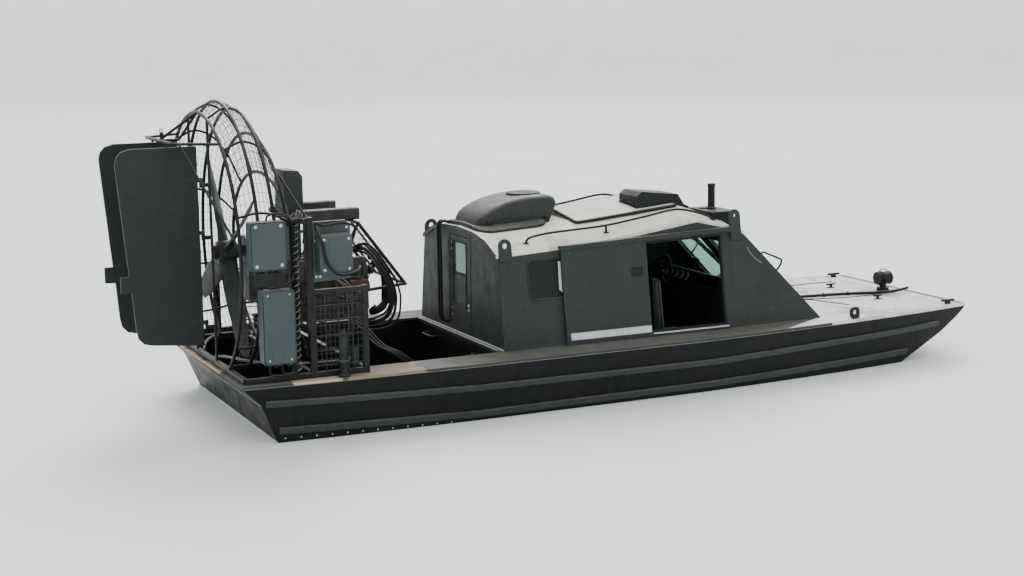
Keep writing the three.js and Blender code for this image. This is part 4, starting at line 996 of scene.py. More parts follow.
# Control boxes, wiring and hoses on the stern's starboard side
def control_boxes():
    lids, pale, dark = several(3)
    for x0, x1, z0, z1, over, under, size in BOXES:
        lids.slab(rounded(rectangle(x0, x1, z0, z1, -0.01), 0.026), BOX_FACE - 0.007, BOX_FACE + 0.001)
        dark.slab(rounded(rectangle(x0, x1, z0, z1, -0.004), 0.026), BOX_FACE - 0.002, BOX_FACE + 0.001)
        for x in (x0 + 0.045, x1 - 0.045):
            for z in (z0 + over, z1 - under):
                pale.stud(x, z, (BOX_FACE - 0.006, BOX_FACE - 0.0085), BOX_FACE - 0.009, size * 1.6, size)
        for x in even(x0 + 0.06, x0 + 0.21, 3):
            dark.tube([(x, -1.2, z0 + 0.004), (x, -1.2, z0 - 0.018)], 0.013, 12)
            dark.tube([(x, -1.2, z0 - 0.016), (x, -1.2, z0 - 0.034)], 0.009, 12)
    lids.make("box_lids", "box", bevel=0.0025)
    pale.make("box_bolts", "washer")
    x0, x1 = BOXES[0][:2]
    dark.box((x0 + 0.03, -1.236, 1.4), (x1 - 0.012, -1.15, 1.497))
    dark.box((x0 + 0.02, -1.24, 1.492), (x1, -1.146, 1.502))
    dark.make("box_gaskets", "gasket", bevel=0.002)


def forward_box():
    """A bracket plate on the posts with a smaller lidded box on it, and hoses draped over its face."""
    plate, shell, pale, hose = several(4)
    (x0, x1), (y0, y1), (z0, z1) = PLATE_X, PLATE_Y, PLATE_Z
    outline = [(x0, z0), (x1 - 0.01, z0 + 0.012), (x1, z0 + 0.075), (x1, z1 - 0.04), (x1 - 0.04, z1), (x0, z1)]
    plate.slab(outline, y1 - 0.01, y1)
    plate.box((x0, y1 - 0.034, z0), (x0 + 0.008, y1 - 0.002, z1))
    plate.box((x0, y1 - 0.034, z1 - 0.008), (x1 - 0.045, y1 - 0.002, z1))
    piece = plate.make("bracket_plate", "box", bevel=0.003)
    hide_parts("control_box_forward")
    inner = (x0 + 0.022, x1 - 0.02, z0 + 0.075, z1 - 0.1)
    shell.slab(rounded(rectangle(*inner), 0.03), y0 + 0.012, y1 - 0.009)
    shell.slab(rounded(rectangle(*inner, -0.008), 0.026), y0 + 0.004, y0 + 0.013)
    shell.make("inner_box", "box", bevel=0.004)
    for x, z in rectangle(*inner, -0.035):
        pale.stud(x, z, (y0 + 0.005, y0 + 0.001), y0 + 0.002, 0.011, 0.008)
    for x, z in ((x0 + 0.02, z0 + 0.045), (x0 + 0.055, z0 + 0.045), (x0 + 0.022, z0 + 0.33), (x1 - 0.03, z1 - 0.06)):
        pale.stud(x, z, (y1 - 0.009, y1 - 0.012), y1 - 0.013, 0.011, 0.008)
    pale.make("plate_bolts", "washer")
    for radius, sides, route in DRAPED_HOSES:
        hose.tube(curve(route, 8), radius, sides)
    hose.make("draped_hoses", "rubber", smooth=60)


def stern_wiring():
    """The wrapped cable bundle up the post, and leads from the boxes to it."""
    cables, wrap = several(2)
    for i, a in enumerate(turns(5)):
        shift = Vector((math.cos(a), math.sin(a), 0)) * 0.011
        middle = [BUNDLE_FOOT.lerp(BUNDLE_HEAD, t) + shift + AHEAD * 0.002 * math.sin(9 * t + i)
                  for t in even(0, 1, 4)]
        out = BUNDLE_HEAD + Vector((0.03 + 0.02 * i, 0.06, 0.03 - 0.012 * i))
        cables.tube(curve(middle + [out, out + Vector((0.08, 0.22, 0.01))], 6), 0.0055, 8)
    for i, route in enumerate(LEADS):
        cables.tube(curve(route, 8), 0.0065 if i % 2 else 0.0085, 8)
    cables.make("cable_bundle", "rubber", smooth=60)
    wrap.tube(helix(BUNDLE_FOOT, BUNDLE_HEAD, 0.0205, 0.052), 0.0036, 6)
    for z in (1.905, 1.64):
        wrap.tube(helix(Vector((-3.13, -1.02, z - 0.22)), Vector((-3.12, -1, z)), 0.02, 0.045), 0.0035, 6)
    wrap.make("spiral_wrap", "wrap", smooth=60)


def stern_parts():
    """Pipes, canisters, the pump and hoses beside the engine."""
    pipes, can, pump, arcs = several(4)
    for dx, dy in ((0, 0), (0.022, 0.012), (0.048, -0.006)):
        route = [
            (-2.735, -0.3 - dy, 1.34), (-2.73, -0.8, 1.345 - dy), (-2.725, -1.04 - dy, 1.3),
            (-2.712, -1.06 - dy, 1.18), (-2.705, -1.056 - dy, 0.99), (-2.7, -0.95, 0.9), (-2.7, -0.6, 0.85),
            (-2.7, -0.295, 0.9),
        ]
        pipes.tube(curve([(x + dx, y, z) for x, y, z in route], 8), 0.0085, 12)
    pipes.make("pipes", "copper", smooth=60)
    for x, sides, profile in CANISTERS:
        can.turned((x, -1.04, 0), UP, profile, sides)
    can.make("canisters", "canister", bevel=0.001)
    pump.turned((-2.6, -0.79, 1.27), AHEAD, ((0, 0.04), (0.004, 0.052), (0.16, 0.052), (0.166, 0.04)))
    pump.box((-2.56, -0.83, 1.19), (-2.47, -0.72, 1.262))
    pump.tube([(-2.515, -0.79, 1.3), (-2.515, -0.79, 1.345)], 0.018, 16)
    pump.tube([(-2.515, -0.79, 1.2), (-2.515, -0.5, 1.19), (-2.515, -0.288, 1.18)], 0.02, 14)
    pump.make("pump", "rust", bevel=0.003)
    for dx, dy, radius in HOSE_ARCS:
        route = [
            (-2.4, -0.3, 1.5), (-2.34, -0.5, 1.52 + dx), (-2.27 + dx, -0.6, 1.4), (-2.19 + dx, -0.62, 1.25),
            (-2.15 + dx, -0.6, 1.09), (-2.19 + dx, -0.56, 0.95 - dx), (-2.32, -0.46, 0.89 - dx),
            (-2.4, -0.285 - dy / 2, 0.9),
        ]
        arcs.tube(curve([(x, y + dy, z) for x, y, z in route], 8), radius, 12)
    for dx in (0, 0.03, 0.06):
        route = [
            (-2.5 + dx, -0.3, 0.95), (-2.46 + dx, -0.56, 0.9), (-2.38 + dx, -0.8, 0.76), (-2.26 + dx, -0.9, 0.69),
            (-2.13 + dx, -0.885, 0.56), (-2.1 + dx, -0.87, 0.3), (-2.11, -0.86, 0.175),
        ]
        arcs.tube(curve(route, 8), 0.009)
    arcs.make("hose_arcs", "rubber", smooth=60)


def guard_grids():
    """Finer wires over the stand's two side guards."""
    made = Shapes()
    for side, _ in SIDES:
        y = side * (STAND_Y + 0.009)
        for i in range(11):
            x = STAND_X[2] + 0.03 + i * 0.0385
            made.tube([(x, y, 0.69), (x, y, 1.296)], MESH_WIRE, 6)
        for i in range(13):
            z = 0.715 + i * 0.046
            made.tube([(x, y + side * 0.003, z) for x in STAND_X[2:]], MESH_WIRE, 6)
    made.make("guard_grids", "wire")


def engine():
    """The engine in the place of its plain block."""
    metal, dark, belts = several(3)
    for x0, x1, half, z0, z1 in ENGINE_SOLIDS:
        metal.box((x0, -half, z0), (x1, half, z1))
    for side, _ in SIDES:
        for x in (-2.88, -2.33):
            metal.box((x - 0.05, side * 0.265 - 0.025, 0.88), (x + 0.05, side * 0.265 + 0.025, 0.902))
            metal.box((x - 0.035, side * 0.23 - 0.045, 0.895), (x + 0.035, side * 0.23 + 0.045, 1.04))
        cover = [(0.17, 1.25), (0.285, 1.25), (0.288, 1.39), (0.27, 1.425), (0.215, 1.429), (0.175, 1.38)]
        metal.slab([(side * y, z) for y, z in cover], -2.96, -2.26, "x")
        for i in range(9):
            x = -2.925 + i * 0.078
            metal.box((x, side * 0.236 - 0.044, 1.42), (x + 0.01, side * 0.236 + 0.044, 1.43))
        for i in range(4):
            x = -2.87 + i * 0.17
            pipe = [(x, 0.2, 1.18), (x, 0.262, 1.19), (x + 0.02, 0.276, 1.14), (x + 0.06, 0.272, 1.09)]
            dark.tube(curve(mirrored(pipe, side), 6), 0.02, 12)
            lead = [
                (x + 0.05, 0.285, 1.25), (x + 0.06, 0.296, 1.33), (x + 0.05, 0.25, 1.436), (x + 0.03, 0.11, 1.44),
                (-2.6, 0.05, 1.438),
            ]
            belts.tube(curve(mirrored(lead, side), 6), 0.0045, 8)
        dark.tube([(-2.9, side * 0.262, 1.075), (-2.28, side * 0.262, 1.075)], 0.026, 16)
    for y, z, radius in PULLEYS:
        dark.turned((0, y, z), AHEAD, [(x, share * radius) for x, share in PULLEY_RIM], 32)
    belt = [Vector((-2.198, y + math.copysign(radius * 0.6, y or 1), z)) for y, z, radius in PULLEYS]
    belt.sort(key=lambda at: math.atan2(at.z - 1.17, at.y))
    belts.tube(belt, 0.006, 6, closed=True)
    for y, z, radius in ((-0.2, 1.3, 0.058), (0.205, 1.27, 0.06)):
        profile = ((0, radius * 0.7), (0.005, radius), (0.16, radius), (0.175, radius * 0.6))
        metal.turned((-2.4, y, z), AHEAD, profile)
    piece = metal.make("engine_parts", "engine", bevel=0.006)
    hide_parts("engine_block")
    dark.make("engine_fittings", "exhaust", smooth=50)
    belts.make("engine_leads", "gasket", smooth=50)


def drive_bolts():
    """Bolts round the reduction drive's aft face, and ribs on its sides."""
    made = Shapes()
    for a in turns(12)[:7]:
        made.bolt((-3.253, 0.115 * math.cos(a), PROP.z + 0.115 * math.sin(a)), -AHEAD, 0.007)
    for side, _ in SIDES:
        for i in range(5):
            made.bolt((-3.253, side * 0.115, 1.13 + 0.085 * i), -AHEAD, 0.007)
        for i in range(3):
            z = 1.18 + 0.11 * i
            made.box((-3.24, side * 0.13 - 0.004, z), (-3.01, side * 0.13 + 0.004, z + 0.01))
    made.make("drive_bolts", "exhaust")


def mufflers():
    made, trim = several(2)
    cover = [(-2.915, 1.833), (-2.76, 1.833), (-2.76, 2.122), (-2.793, 2.168), (-2.915, 2.178)]
    cover = rounded([(x * 0.995 - 0.0142, z * 0.985 + 0.029) for x, z in cover], 0.01)
    for side, _ in SIDES:
        y = side * MUFFLER_Y
        for x in (-2.8, -2.6, -2.4):
            made.slab(rounded(rectangle(y - 0.054, y + 0.054, 1.756, 1.862), 0.022), x - 0.01, x + 0.01, "x")
        made.tube([(-2.862, y, 1.81), (-2.89, y, 1.81), (-2.912, y, 1.83)], 0.032, 24)
        made.tube([(-2.513, y, 1.64), (-2.487, y, 1.64)], 0.036, 20)
        trim.slab(cover, side * 0.129, side * INTAKE_FACE)
        for x, z in ((-2.89, 1.86), (-2.89, 2.14), (-2.785, 1.86), (-2.785, 2.11)):
            trim.bolt((x, side * INTAKE_FACE, z), PORT * side, 0.006)
    made.make("muffler_bands", "exhaust", bevel=0.001)
    for z in even(1.88, 2.12, 3):
        trim.box((-2.756, -0.11, z), (-2.75, 0.11, z + 0.012))
    trim.make("intake_trim", "panel", bevel=0.0015)


# Cabin: windows, doors, roof and what stands on it
def cabin_side_details():
    for side, name in SIDES:
        seal, plate, bolts, strip, glint, line, lead = several(7)
        inner = rounded(rectangle(*AFT_WINDOW, 0.008), 0.04)
        seal.ring_plate(rounded(rectangle(*AFT_WINDOW, 0.014), 0.055), inner, -0.006, 0.004)
        seal.ring_plate(rounded(rectangle(*AFT_WINDOW, 0.01), 0.05), inner, -0.044, -0.036)
        plate.slab(rounded(QUARTER_COVER, 0.03), 0.0003, 0.004)
        for x, z in SIDE_BOLTS:
            bolts.bolt((x, 0.0003, z), PORT, 0.0055)
        strip.slab([(-0.7, 1.4695), (1.03, 1.5225), (1.03, 1.5255), (-0.7, 1.4725)], 0.001, 0.053)
        aft = CABIN_AFT + 0.002
        strip.slab([(aft, 0.6203), (1.94, 0.6203), (1.925, 0.64), (aft, 0.64)], 0.0003, 0.0018)
        strip.slab(rectangle(-1.262, -1.25, 0.64, 1.395), 0.0003, 0.003)
        # A pale strip at the aft window's forward edge: a painted highlight
        glint.slab([(-0.711, 1.094), (-0.663, 1.055), (-0.665, 1.338), (-0.706, 1.338)], -0.012, -0.0085)
        glint.lean_on(side).make("window_glint_" + name, "pale")
        line.slab(rectangle(0.15, 0.935, 0.643, 0.655), 0.0505, 0.053)
        line.lean_on(side).make("sill_line_" + name, "track", bevel=0.0008)
        route = ((1.205, 1.325), (1.222, 1.29), (1.255, 1.245), (1.3, 1.205), (1.345, 1.175))
        lead.tube([(x, 0.0075, z) for x, z in route], 0.0055, 8)
        lead.lean_on(side).make("quarter_lead_" + name, "wrap", smooth=60)
        seal.lean_on(side).make("window_seal_" + name, "gasket", bevel=0.0015)
        plate.lean_on(side).make("quarter_cover_" + name, "panel", bevel=0.001)
        bolts.lean_on(side).make("side_bolts_" + name, "strake")
        strip.lean_on(side).make("side_trim_" + name, "strake", bevel=0.0007)


def door_details():
    for side, name in SIDES:
        body = "sliding_door_" + name
        x0, x1 = (x + DOOR_SHIFT[name] for x in DOOR_X)
        foot, edge, grip, bolts, gate = several(5)
        foot.slab(rectangle(x0 + 0.04, x1 - 0.002, 0.6605, 0.722), DOOR_FACE - 0.001, DOOR_FACE + 0.003)
        foot.slab(rectangle(x0 + 0.04, x1 - 0.002, 0.7185, 0.722), DOOR_FACE + 0.002, DOOR_FACE + 0.0055)
        for x in (x0 + 0.0005, x1 - 0.0125):
            edge.slab(rectangle(x, x + 0.012, 0.665, 1.425), DOOR_FACE - 0.001, DOOR_FACE + 0.0015)
        cup = (x1 - 0.162, x1 - 0.058, 1.163, 1.232)
        grip.slab(rounded(rectangle(*cup), 0.012), DOOR_FACE - 0.0105, DOOR_FACE - 0.0085)
        grip.ring_plate(rounded(rectangle(*cup, 0.01), 0.018), rounded(rectangle(*cup, 0.002), 0.012),
                        DOOR_FACE - 0.001, DOOR_FACE + 0.002)
        pull = rounded(rectangle(x1 - 0.128, x1 - 0.09, 1.176, 1.196), 0.005)
        grip.slab(pull, DOOR_FACE - 0.009, DOOR_FACE + 0.003)
        for x, z in ((x0 + 0.071, 1.4), (x0 + 0.114, 0.745), (x1 - 0.093, 1.403), (x1 - 0.061, 0.735),
                     (x0 + 0.03, 1.08), (x1 - 0.03, 1.02)):
            bolts.bolt((x, DOOR_FACE, z), PORT, 0.006)
        foot.lean_on(side).make("door_foot_" + name, "track", body, bevel=0.0008)
        edge.lean_on(side).make("door_edge_" + name, "strake", body)
        grip.lean_on(side).make("door_grip_" + name, "trim", body, bevel=0.0008)
        bolts.lean_on(side).make("door_bolts_" + name, "strake", body)
        outer = [(0.133, 0.66), (0.947, 0.66), (0.947, 1.462), (0.133, 1.44)]
        inner = [(0.151, 0.66), (0.929, 0.66), (0.929, 1.446), (0.151, 1.424)]
        gate.ring_plate(outer, inner, 0.0003, 0.0032)
        gate.ring_plate(outer, [(0.145, 0.643), (0.935, 0.643), (0.935, 1.452), (0.145, 1.43)], -0.0435, -0.0405)
        gate.lean_on(side).make("doorway_seal_" + name, "gasket", bevel=0.0006)


def aft_details():
    """The aft door's seals and fittings, a dark pane of painted shade over its window's lower half, its frame, the
    roof's aft edge and two grab bars.
    """
    seal, pane, plate, rim, trim, foot, bars = several(7)
    outer = rounded(rectangle(*AFT_DOOR_WINDOW, 0.016), 0.042)
    inner = rounded(rectangle(*AFT_DOOR_WINDOW, 0.008), 0.028)
    seal.ring_plate(outer, inner, CABIN_AFT - 0.005, CABIN_AFT + 0.001, "x")
    seal.ring_plate(outer, inner, CABIN_AFT + 0.029, CABIN_AFT + 0.033, "x")
    seal.box((CABIN_AFT, -0.128, 1.148), (CABIN_AFT + 0.0055, 0.128, 1.166))
    seal.make("aft_door_seal", "gasket", "aft_door", bevel=0.001)
    # An opaque dark pane over the window's lower half: painted shade of the cabin seen through it
    pane.slab(rectangle(-0.126, 0.126, 0.897, 1.15), CABIN_AFT + 0.0005, CABIN_AFT + 0.003, "x")
    pane.make("aft_door_shade_pane", "dusk", "aft_door")
    plate.slab(rounded(rectangle(-0.202, -0.174, 0.845, 0.91), 0.01), CABIN_AFT - 0.0035, CABIN_AFT + 0.001, "x")
    plate.tube([(CABIN_AFT - 0.003, -0.188, 0.852), (CABIN_AFT - 0.007, -0.188, 0.852)], 0.006, 14)
    for z in (0.77, 0.83, 1.37, 1.43):
        plate.bolt((CABIN_AFT - 0.0005, 0.175, z), -AHEAD, 0.006)
    plate.make("aft_door_fittings", "washer", "aft_door", bevel=0.0008)
    rim.ring_plate(rectangle(*AFT_DOOR, 0.03), rectangle(*AFT_DOOR, 0.0065), CABIN_AFT - 0.0035, CABIN_AFT - 0.0003,
                   "x")
    rim.make("aft_frame", "panel", bevel=0.001)
    rows = []
    for y in even(-0.818, 0.818, 40):
        top = crown_at(-1.29, y)
        rows.append([(x, y, z) for x, z in rectangle(-1.2935, -1.2903, top - 0.031, top + 0.002)])
    trim.rings(rows)
    trim.box((CABIN_AFT - 0.003, -0.93, 0.6203), (CABIN_AFT - 0.0003, 0.93, 0.64))
    trim.make("roof_aft_edge", "panel")
    foot.tube([(CABIN_AFT - 0.006, -0.93, 0.6265), (CABIN_AFT - 0.006, 0.93, 0.6265)], 0.0065, 8)
    foot.tube([(-1.318, -0.87, 0.6235), (-1.318, 0.87, 0.6235)], 0.005, 8)
    foot.make("aft_foot", "washer", smooth=60)
    for y in (0.56, -0.56):
        bend = ((-1.3205, -0.11), (-1.372, -0.105), (-1.38, 0), (-1.372, 0.105), (-1.3205, 0.11))
        bars.tube(curve([(x, y + dy, 0.52) for x, dy in bend], 8), 0.009)
    bars.make("aft_bars", "tube", smooth=50)


def roof_details():
    """The hatch's seal, the case's fittings and cover, the mast's foot and two leads."""
    seal, case, cover, mast, leads = several(5)
    aft, fore = LID[0][0], LID[-1][0]
    for side, _ in SIDES:
        edge = [(x, side * (LID_HALF + 0.004), crown_at(x, LID_HALF) + 0.014) for x in even(aft, fore, 20)]
        seal.tube(edge, 0.016, 8)
    for x, shift in ((aft, -0.004), (fore, 0.004)):
        rim, crest = crown_at(x, LID_HALF) + LID_RIM, table(LID, x)
        seal.tube([(x + shift, y, rim + (crest - rim) * (1 - abs(y) / LID_HALF) - 0.012)
                   for y in even(-LID_HALF, LID_HALF, 20)], 0.016, 8)
    seal.make("lid_seal", "gasket", smooth=60)
    for x, z in ((0.365, 1.822), (0.705, 1.786), (0.365, 1.64), (0.76, 1.64)):
        case.tube([(x, -0.4145, z), (x, -0.419, z)], 0.014, 16)
        case.bolt((x, -0.4185, z), -PORT, 0.007, washer=False)
    case.box((0.296, -0.38, 1.7), (0.306, -0.12, 1.716))
    for y in (-0.34, -0.16):
        hook = ((0.298, -0.03), (0.28, -0.026), (0.28, 0.026), (0.298, 0.03))
        case.tube(curve([(x, y + dy, 1.745) for x, dy in hook], 6), 0.005, 8)
    case.make("case_fittings", "trim")
    edge = [
        (0.298, 1.797), (0.355, 1.8385), (0.732, 1.7975), (0.788, 1.7105), (0.78, 1.7055), (0.728, 1.7895),
        (0.357, 1.829), (0.306, 1.792),
    ]
    cover.slab(edge, -0.4185, -0.0815)
    cover.make("case_cover", "trim", bevel=0.002)
    mast.turned(MAST, UP, ((1.643, 0.046), (1.655, 0.046), (1.661, 0.036)))
    for at in circle(Vector(MAST) + UP * 1.653, AHEAD, PORT, 0.038, 6):
        mast.bolt(at, UP, 0.0045, washer=False)
    mast.turned(MAST, UP, ((1.6425, 0.0335), (1.85, 0.0335), (1.854, 0.037), (1.873, 0.037), (1.877, 0.031)))
    mast.make("mast_foot", "trim", smooth=50)
    over = lambda x, y, gap: (x, y, crown_at(x, y) + gap)
    leads.tube(curve([(1.035, -0.43, 1.645), (1, -0.42, 1.65), (0.945, -0.4, 1.64), over(0.9, -0.33, 0.01),
                      over(0.84, -0.25, 0.008), (0.797, -0.25, 1.65)], 6), 0.006, 8)
    leads.tube(curve([over(-0.585, 0.15, 0.02), over(-0.54, 0.15, 0.008), over(-0.44, 0.16, 0.007),
                      over(-0.362, 0.18, 0.012)], 6), 0.007, 8)
    leads.make("roof_leads", "rubber", smooth=60)


def air_conditioner():
    pod, pad, fan, screws = several(4)
    rings = []
    for x in sorted({x for x, _ in POD_TOP + POD_LOW} | POD_EXTRA_X):
        low, high = table(POD_LOW, x), table(POD_TOP, x)
        short = max(POD_CORNER - (x - POD_TOP[0][0]), POD_CORNER - (POD_TOP[-1][0] - x), 0)
        half = POD_HALF - POD_CORNER + math.sqrt(max(POD_CORNER ** 2 - short ** 2, 0))
        section = [(-half, low), (half, low), (half - 0.02, high), (0, high + 0.004), (0.02 - half, high)]
        corner = max(min(0.055, (high - low) / 2 - 0.0005), 0.0008)
        rings.append([(x, y, z) for y, z in rounded(section, corner, 5)])
    pod.rings(rings)
    piece = pod.make("pod_shell", "panel", smooth=42)
    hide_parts("air_conditioner")
    aft, fore = PAD_X
    rings = []
    for a in even(0, math.pi, 28):
        x = aft + (fore - aft) * (1 - math.cos(a)) / 2
        short = max(PAD_CORNER - (x - aft), PAD_CORNER - (fore - x), 0)
        half = PAD_HALF - PAD_CORNER + math.sqrt(max(PAD_CORNER ** 2 - short ** 2, 0))
        low = crown_at(x, half) - 0.02
        upper = [(x, y, crown_at(x, y) + 0.034 - 0.014 * (abs(y) / half) ** 12) for y in even(-half, half, 20)]
        rings.append([(x, half, low), (x, -half, low), *upper])
    pad.rings(rings)
    for y in (-0.31, 0.31):
        for x in (-1.12, -0.56):
            pad.box((x - 0.02, y - 0.014, 1.6), (x + 0.02, y + 0.014, 1.668))
    pad.make("pod_pad", "trim", bevel=0.004)
    fan.turned(POD_FAN, UP, ((0, 0.155), (0.0185, 0.155), (0.0215, 0.148), (0.0214, 0.138), (0.006, 0.132)), 48)
    for radius in (0.05, 0.075, 0.1, 0.125):
        fan.tube(circle(POD_FAN + UP * 0.019, AHEAD, PORT, radius, 40), 0.0022, 6, closed=True)
    for a in turns(12):
        ray = Vector((math.cos(a), math.sin(a), 0))
        fan.tube([POD_FAN + UP * 0.0195 + ray * radius for radius in (0.022, 0.14)], 0.0022, 6)
    fan.turned(POD_FAN, UP, ((0.012, 0.03), (0.02, 0.03), (0.0215, 0.022)))
    fan.make("pod_fan", "trim", smooth=50)
    for side, _ in SIDES:
        for x in (-1.08, -0.8, -0.56):
            screws.bolt((x, side * (POD_HALF - 0.0025), 1.65), PORT * side, 0.006)
        screws.slab(rectangle(-1.06, -0.6, 1.668, 1.672), side * (POD_HALF - 0.006), side * (POD_HALF - 0.0005))
    screws.make("pod_screws", "trim")


def windshield_details():
    """Wipers, seals and the panes' bolts on the sloped front."""
    seal, arms, bolts = several(3)
    length = (SHIELD_HEAD - SHIELD_FOOT).length
    up = (SHIELD_HEAD - SHIELD_FOOT).normalized()
    out = Vector((up.z, 0, -up.x))
    place = lambda share, y, off: SHIELD_FOOT + up * length * share + PORT * y + out * off
    for side, _ in SIDES:
        pane = rectangle(length * 0.22, length * 0.88, side * 0.375 - 0.32, side * 0.375 + 0.32)
        loop = rounded(pane, 0.02, 4)
        seal.tube([place(a / length, y, 0.001) for a, y in loop], 0.0075, 8, closed=True)
        seal.tube([place(a / length, y, -0.041) for a, y in loop], 0.006, 8, closed=True)
        pivot = place(0.18, side * 0.18, 0.002)
        arms.tube([pivot, pivot + out * 0.03], 0.014, 14)
        arms.tube([pivot + out * 0.028, place(0.62, side * 0.3, 0.03)], 0.005, 8)
        arms.flat_bar(place(0.4, side * 0.235, 0.012), place(0.82, side * 0.365, 0.012), 0.006, 0.018)
        for share in (0.18, 0.92):
            for y in (0.1, 0.375, 0.65):
                bolts.bolt(place(share, side * y, 0.0003), out, 0.006)
        rail = [
            (1.395, 0.74, 1.2235), (1.45, 0.742, 1.245), (1.502, 0.744, 1.226), (1.6, 0.744, 1.185),
            (1.646, 0.744, 1.159), (1.64, 0.742, 1.122), (1.57, 0.74, 1.038),
        ]
        arms.tube(curve(mirrored(rail, side), 6), 0.0095)
    seal.make("shield_seals", "gasket", smooth=60)
    arms.make("wipers", "trim", smooth=50)
    bolts.make("shield_bolts", "strake")


# Rudders, hull, decks and foredeck
def rudder_details():
    """Rivets near the rudders' rims, the hinges' straps and a strip along the top."""
    middle = Vector((-3.99, 1.62))
    inner = [Vector(p).lerp(middle, 0.055) for p in RUDDER_OUTLINE + RUDDER_OUTLINE[:1]]
    for side, name in SIDES:
        y = side * RUDDER_Y
        body = "rudder_" + name
        rivets, straps = several(2)
        for face in (1, -1):
            level = y + face * 0.015
            for a, b in zip(inner, inner[1:]):
                count = max(int((b - a).length / 0.11), 1)
                for k in range(count):
                    x, z = a.lerp(b, k / count)
                    rivets.tube([(x, level - face * 0.001, z), (x, level + face * 0.0022, z)], 0.0055, 8)
            for z in HINGE_Z:
                strap = rounded(rectangle(-3.86, -3.702, z + 0.024, z + 0.058), 0.01)
                straps.slab(strap, level - face * 0.0005, level + face * 0.004)
                for x in (-3.725, -3.78, -3.835):
                    straps.bolt((x, level + face * 0.0035, z + 0.041), PORT * face, 0.006, washer=False)
        straps.slab(rectangle(-4.245, -3.702, 2.428, 2.4385), y - 0.017, y + 0.017)
        rivets.make("rivets_" + name, "rudder", body, smooth=50)
        straps.make("straps_" + name, "rudder", body, bevel=0.001)


def hull_details():
    """Bolts on the lower strakes, weld beads, bollards and the stern's bent rails."""
    bolts, beads, bollards, chine, rails = several(5)
    profile = (
        (0.6204, 0.0475), (0.639, 0.0475), (0.64, 0.0315), (0.727, 0.0315), (0.728, 0.0455), (0.745, 0.0455),
        (0.7465, 0.04),
    )
    aft_rail = ((-3.58, 0.18, 0.67), (-3.54, 0.3, 0.69), (-3.42, 0.55, 0.69), (-3.3, 0.7, 0.68), (-3.2, 0.76, 0.672))
    side_rail = ((-3.17, 0.9, 0.7), (-2.9, 0.96, 0.702), (-2.64, 0.96, 0.7))
    for side, _ in SIDES:
        for i in range(12):
            x = -3.306 + i * 0.128
            z = 0.164 - 0.015 * (x + 3.306)
            bolts.bolt((x, side * (skin(x, z) - 0.0005), z), (0, side, -0.13), 0.005)
        beads.tube([(x, side * (table(BEAM, x) + 0.0025), 0.5985) for x in even(-3.64, 3.56, 90)], 0.0055, 8)
        bollards.turned((-2.81, side * 1.205, 0), UP, profile, 32)
        rails.tube(curve(mirrored(aft_rail, side), 8), 0.012, 12)
        rails.tube([(-3.58, side * 0.18, 0.622), (-3.58, side * 0.18, 0.672)], 0.012, 12)
        rails.tube(curve(mirrored(side_rail, side), 6), 0.01)
    chine.tube([(-3.382, y, 0.144) for y in (-1.175, 0, 1.175)], 0.008, 8)
    beads.tube([(-3.502, y, 0.451) for y in (-1.19, 0, 1.19)], 0.005, 8)
    chine.make("chine_line", "washer", smooth=60)
    bolts.make("hull_bolts", "washer")
    beads.make("weld_beads", "wrap", smooth=60)
    bollards.make("hull_fittings", "trim", bevel=0.001)
    rails.make("stern_rails", "wrap", smooth=60)


def foredeck_fittings():
    """Cleats, rings, deck eyes and leads on the foredeck, and the strip at the bow."""
    made, nose = several(2)
    low = DECK_SKIN
    x = 3.021
    horns = ((-0.058, 0.034, 0.004), (-0.05, 0.036, 0.009), (0.05, 0.036, 0.009), (0.058, 0.034, 0.004))
    for y in (-0.39, 0.39):
        made.box((x - 0.045, y - 0.016, low), (x + 0.045, y + 0.016, low + 0.006))
        made.box((x - 0.014, y - 0.009, low + 0.004), (x + 0.014, y + 0.009, low + 0.034))
        made.tube([(x + dx, y, low + up) for dx, up, _ in horns], [radius for _, _, radius in horns], 12)
    for x in (2.365, 2.64, 2.9):
        y = 0.03 - (x - 2.365) * 0.168
        made.box((x - 0.012, y - 0.03, low), (x + 0.012, y + 0.03, low + 0.004))
        bow = ((-0.02, 0), (-0.019, 0.026), (0, 0.0345), (0.019, 0.026), (0.02, 0))
        made.tube(curve([(x, y + dy, low + up) for dy, up in bow], 6), 0.0035, 8)
    for side, _ in SIDES:
        x, y, z = 2.187, side * 1.15, DECK_TOP + 0.064
        outer = rounded(rectangle(x - 0.0512, x + 0.0512, low, DECK_TOP + 0.1132), 0.04)
        angles = [math.atan2(b - z, a - x) for a, b in outer]
        hole = [(x + 0.0208 * math.cos(t), z + 0.0208 * math.sin(t)) for t in angles]
        made.ring_plate(outer, hole, y - 0.0092, y + 0.0092)
        x, y = 3.44, side * 0.93
        made.box((x - 0.0262, y - 0.0152, low), (x + 0.0262, y + 0.0152, DECK_TOP + 0.03))
        made.box((x - 0.0712, y - 0.0122, DECK_TOP + 0.0248), (x + 0.0712, y + 0.0122, DECK_TOP + 0.0452))
        out = skin(3.18, 0.517)
        made.slab(rounded(rectangle(3.15, 3.215, 0.505, 0.53), 0.006), side * (out - 0.004), side * (out + 0.0025))
    made.tube([(3.608 - 0.0001 * i, 0.98 - 0.196 * i, 0.6055) for i in range(11)], 0.0035, 8)
    nose.box((3.556, -0.982, low), (3.6118, 0.982, low + 0.0019))
    nose.make("bow_strip", "hull")
    for route in DECK_LEADS:
        made.tube(curve(route, 8), 0.0045, 8)
    made.make("foredeck_fittings", "trim", bevel=0.0015)


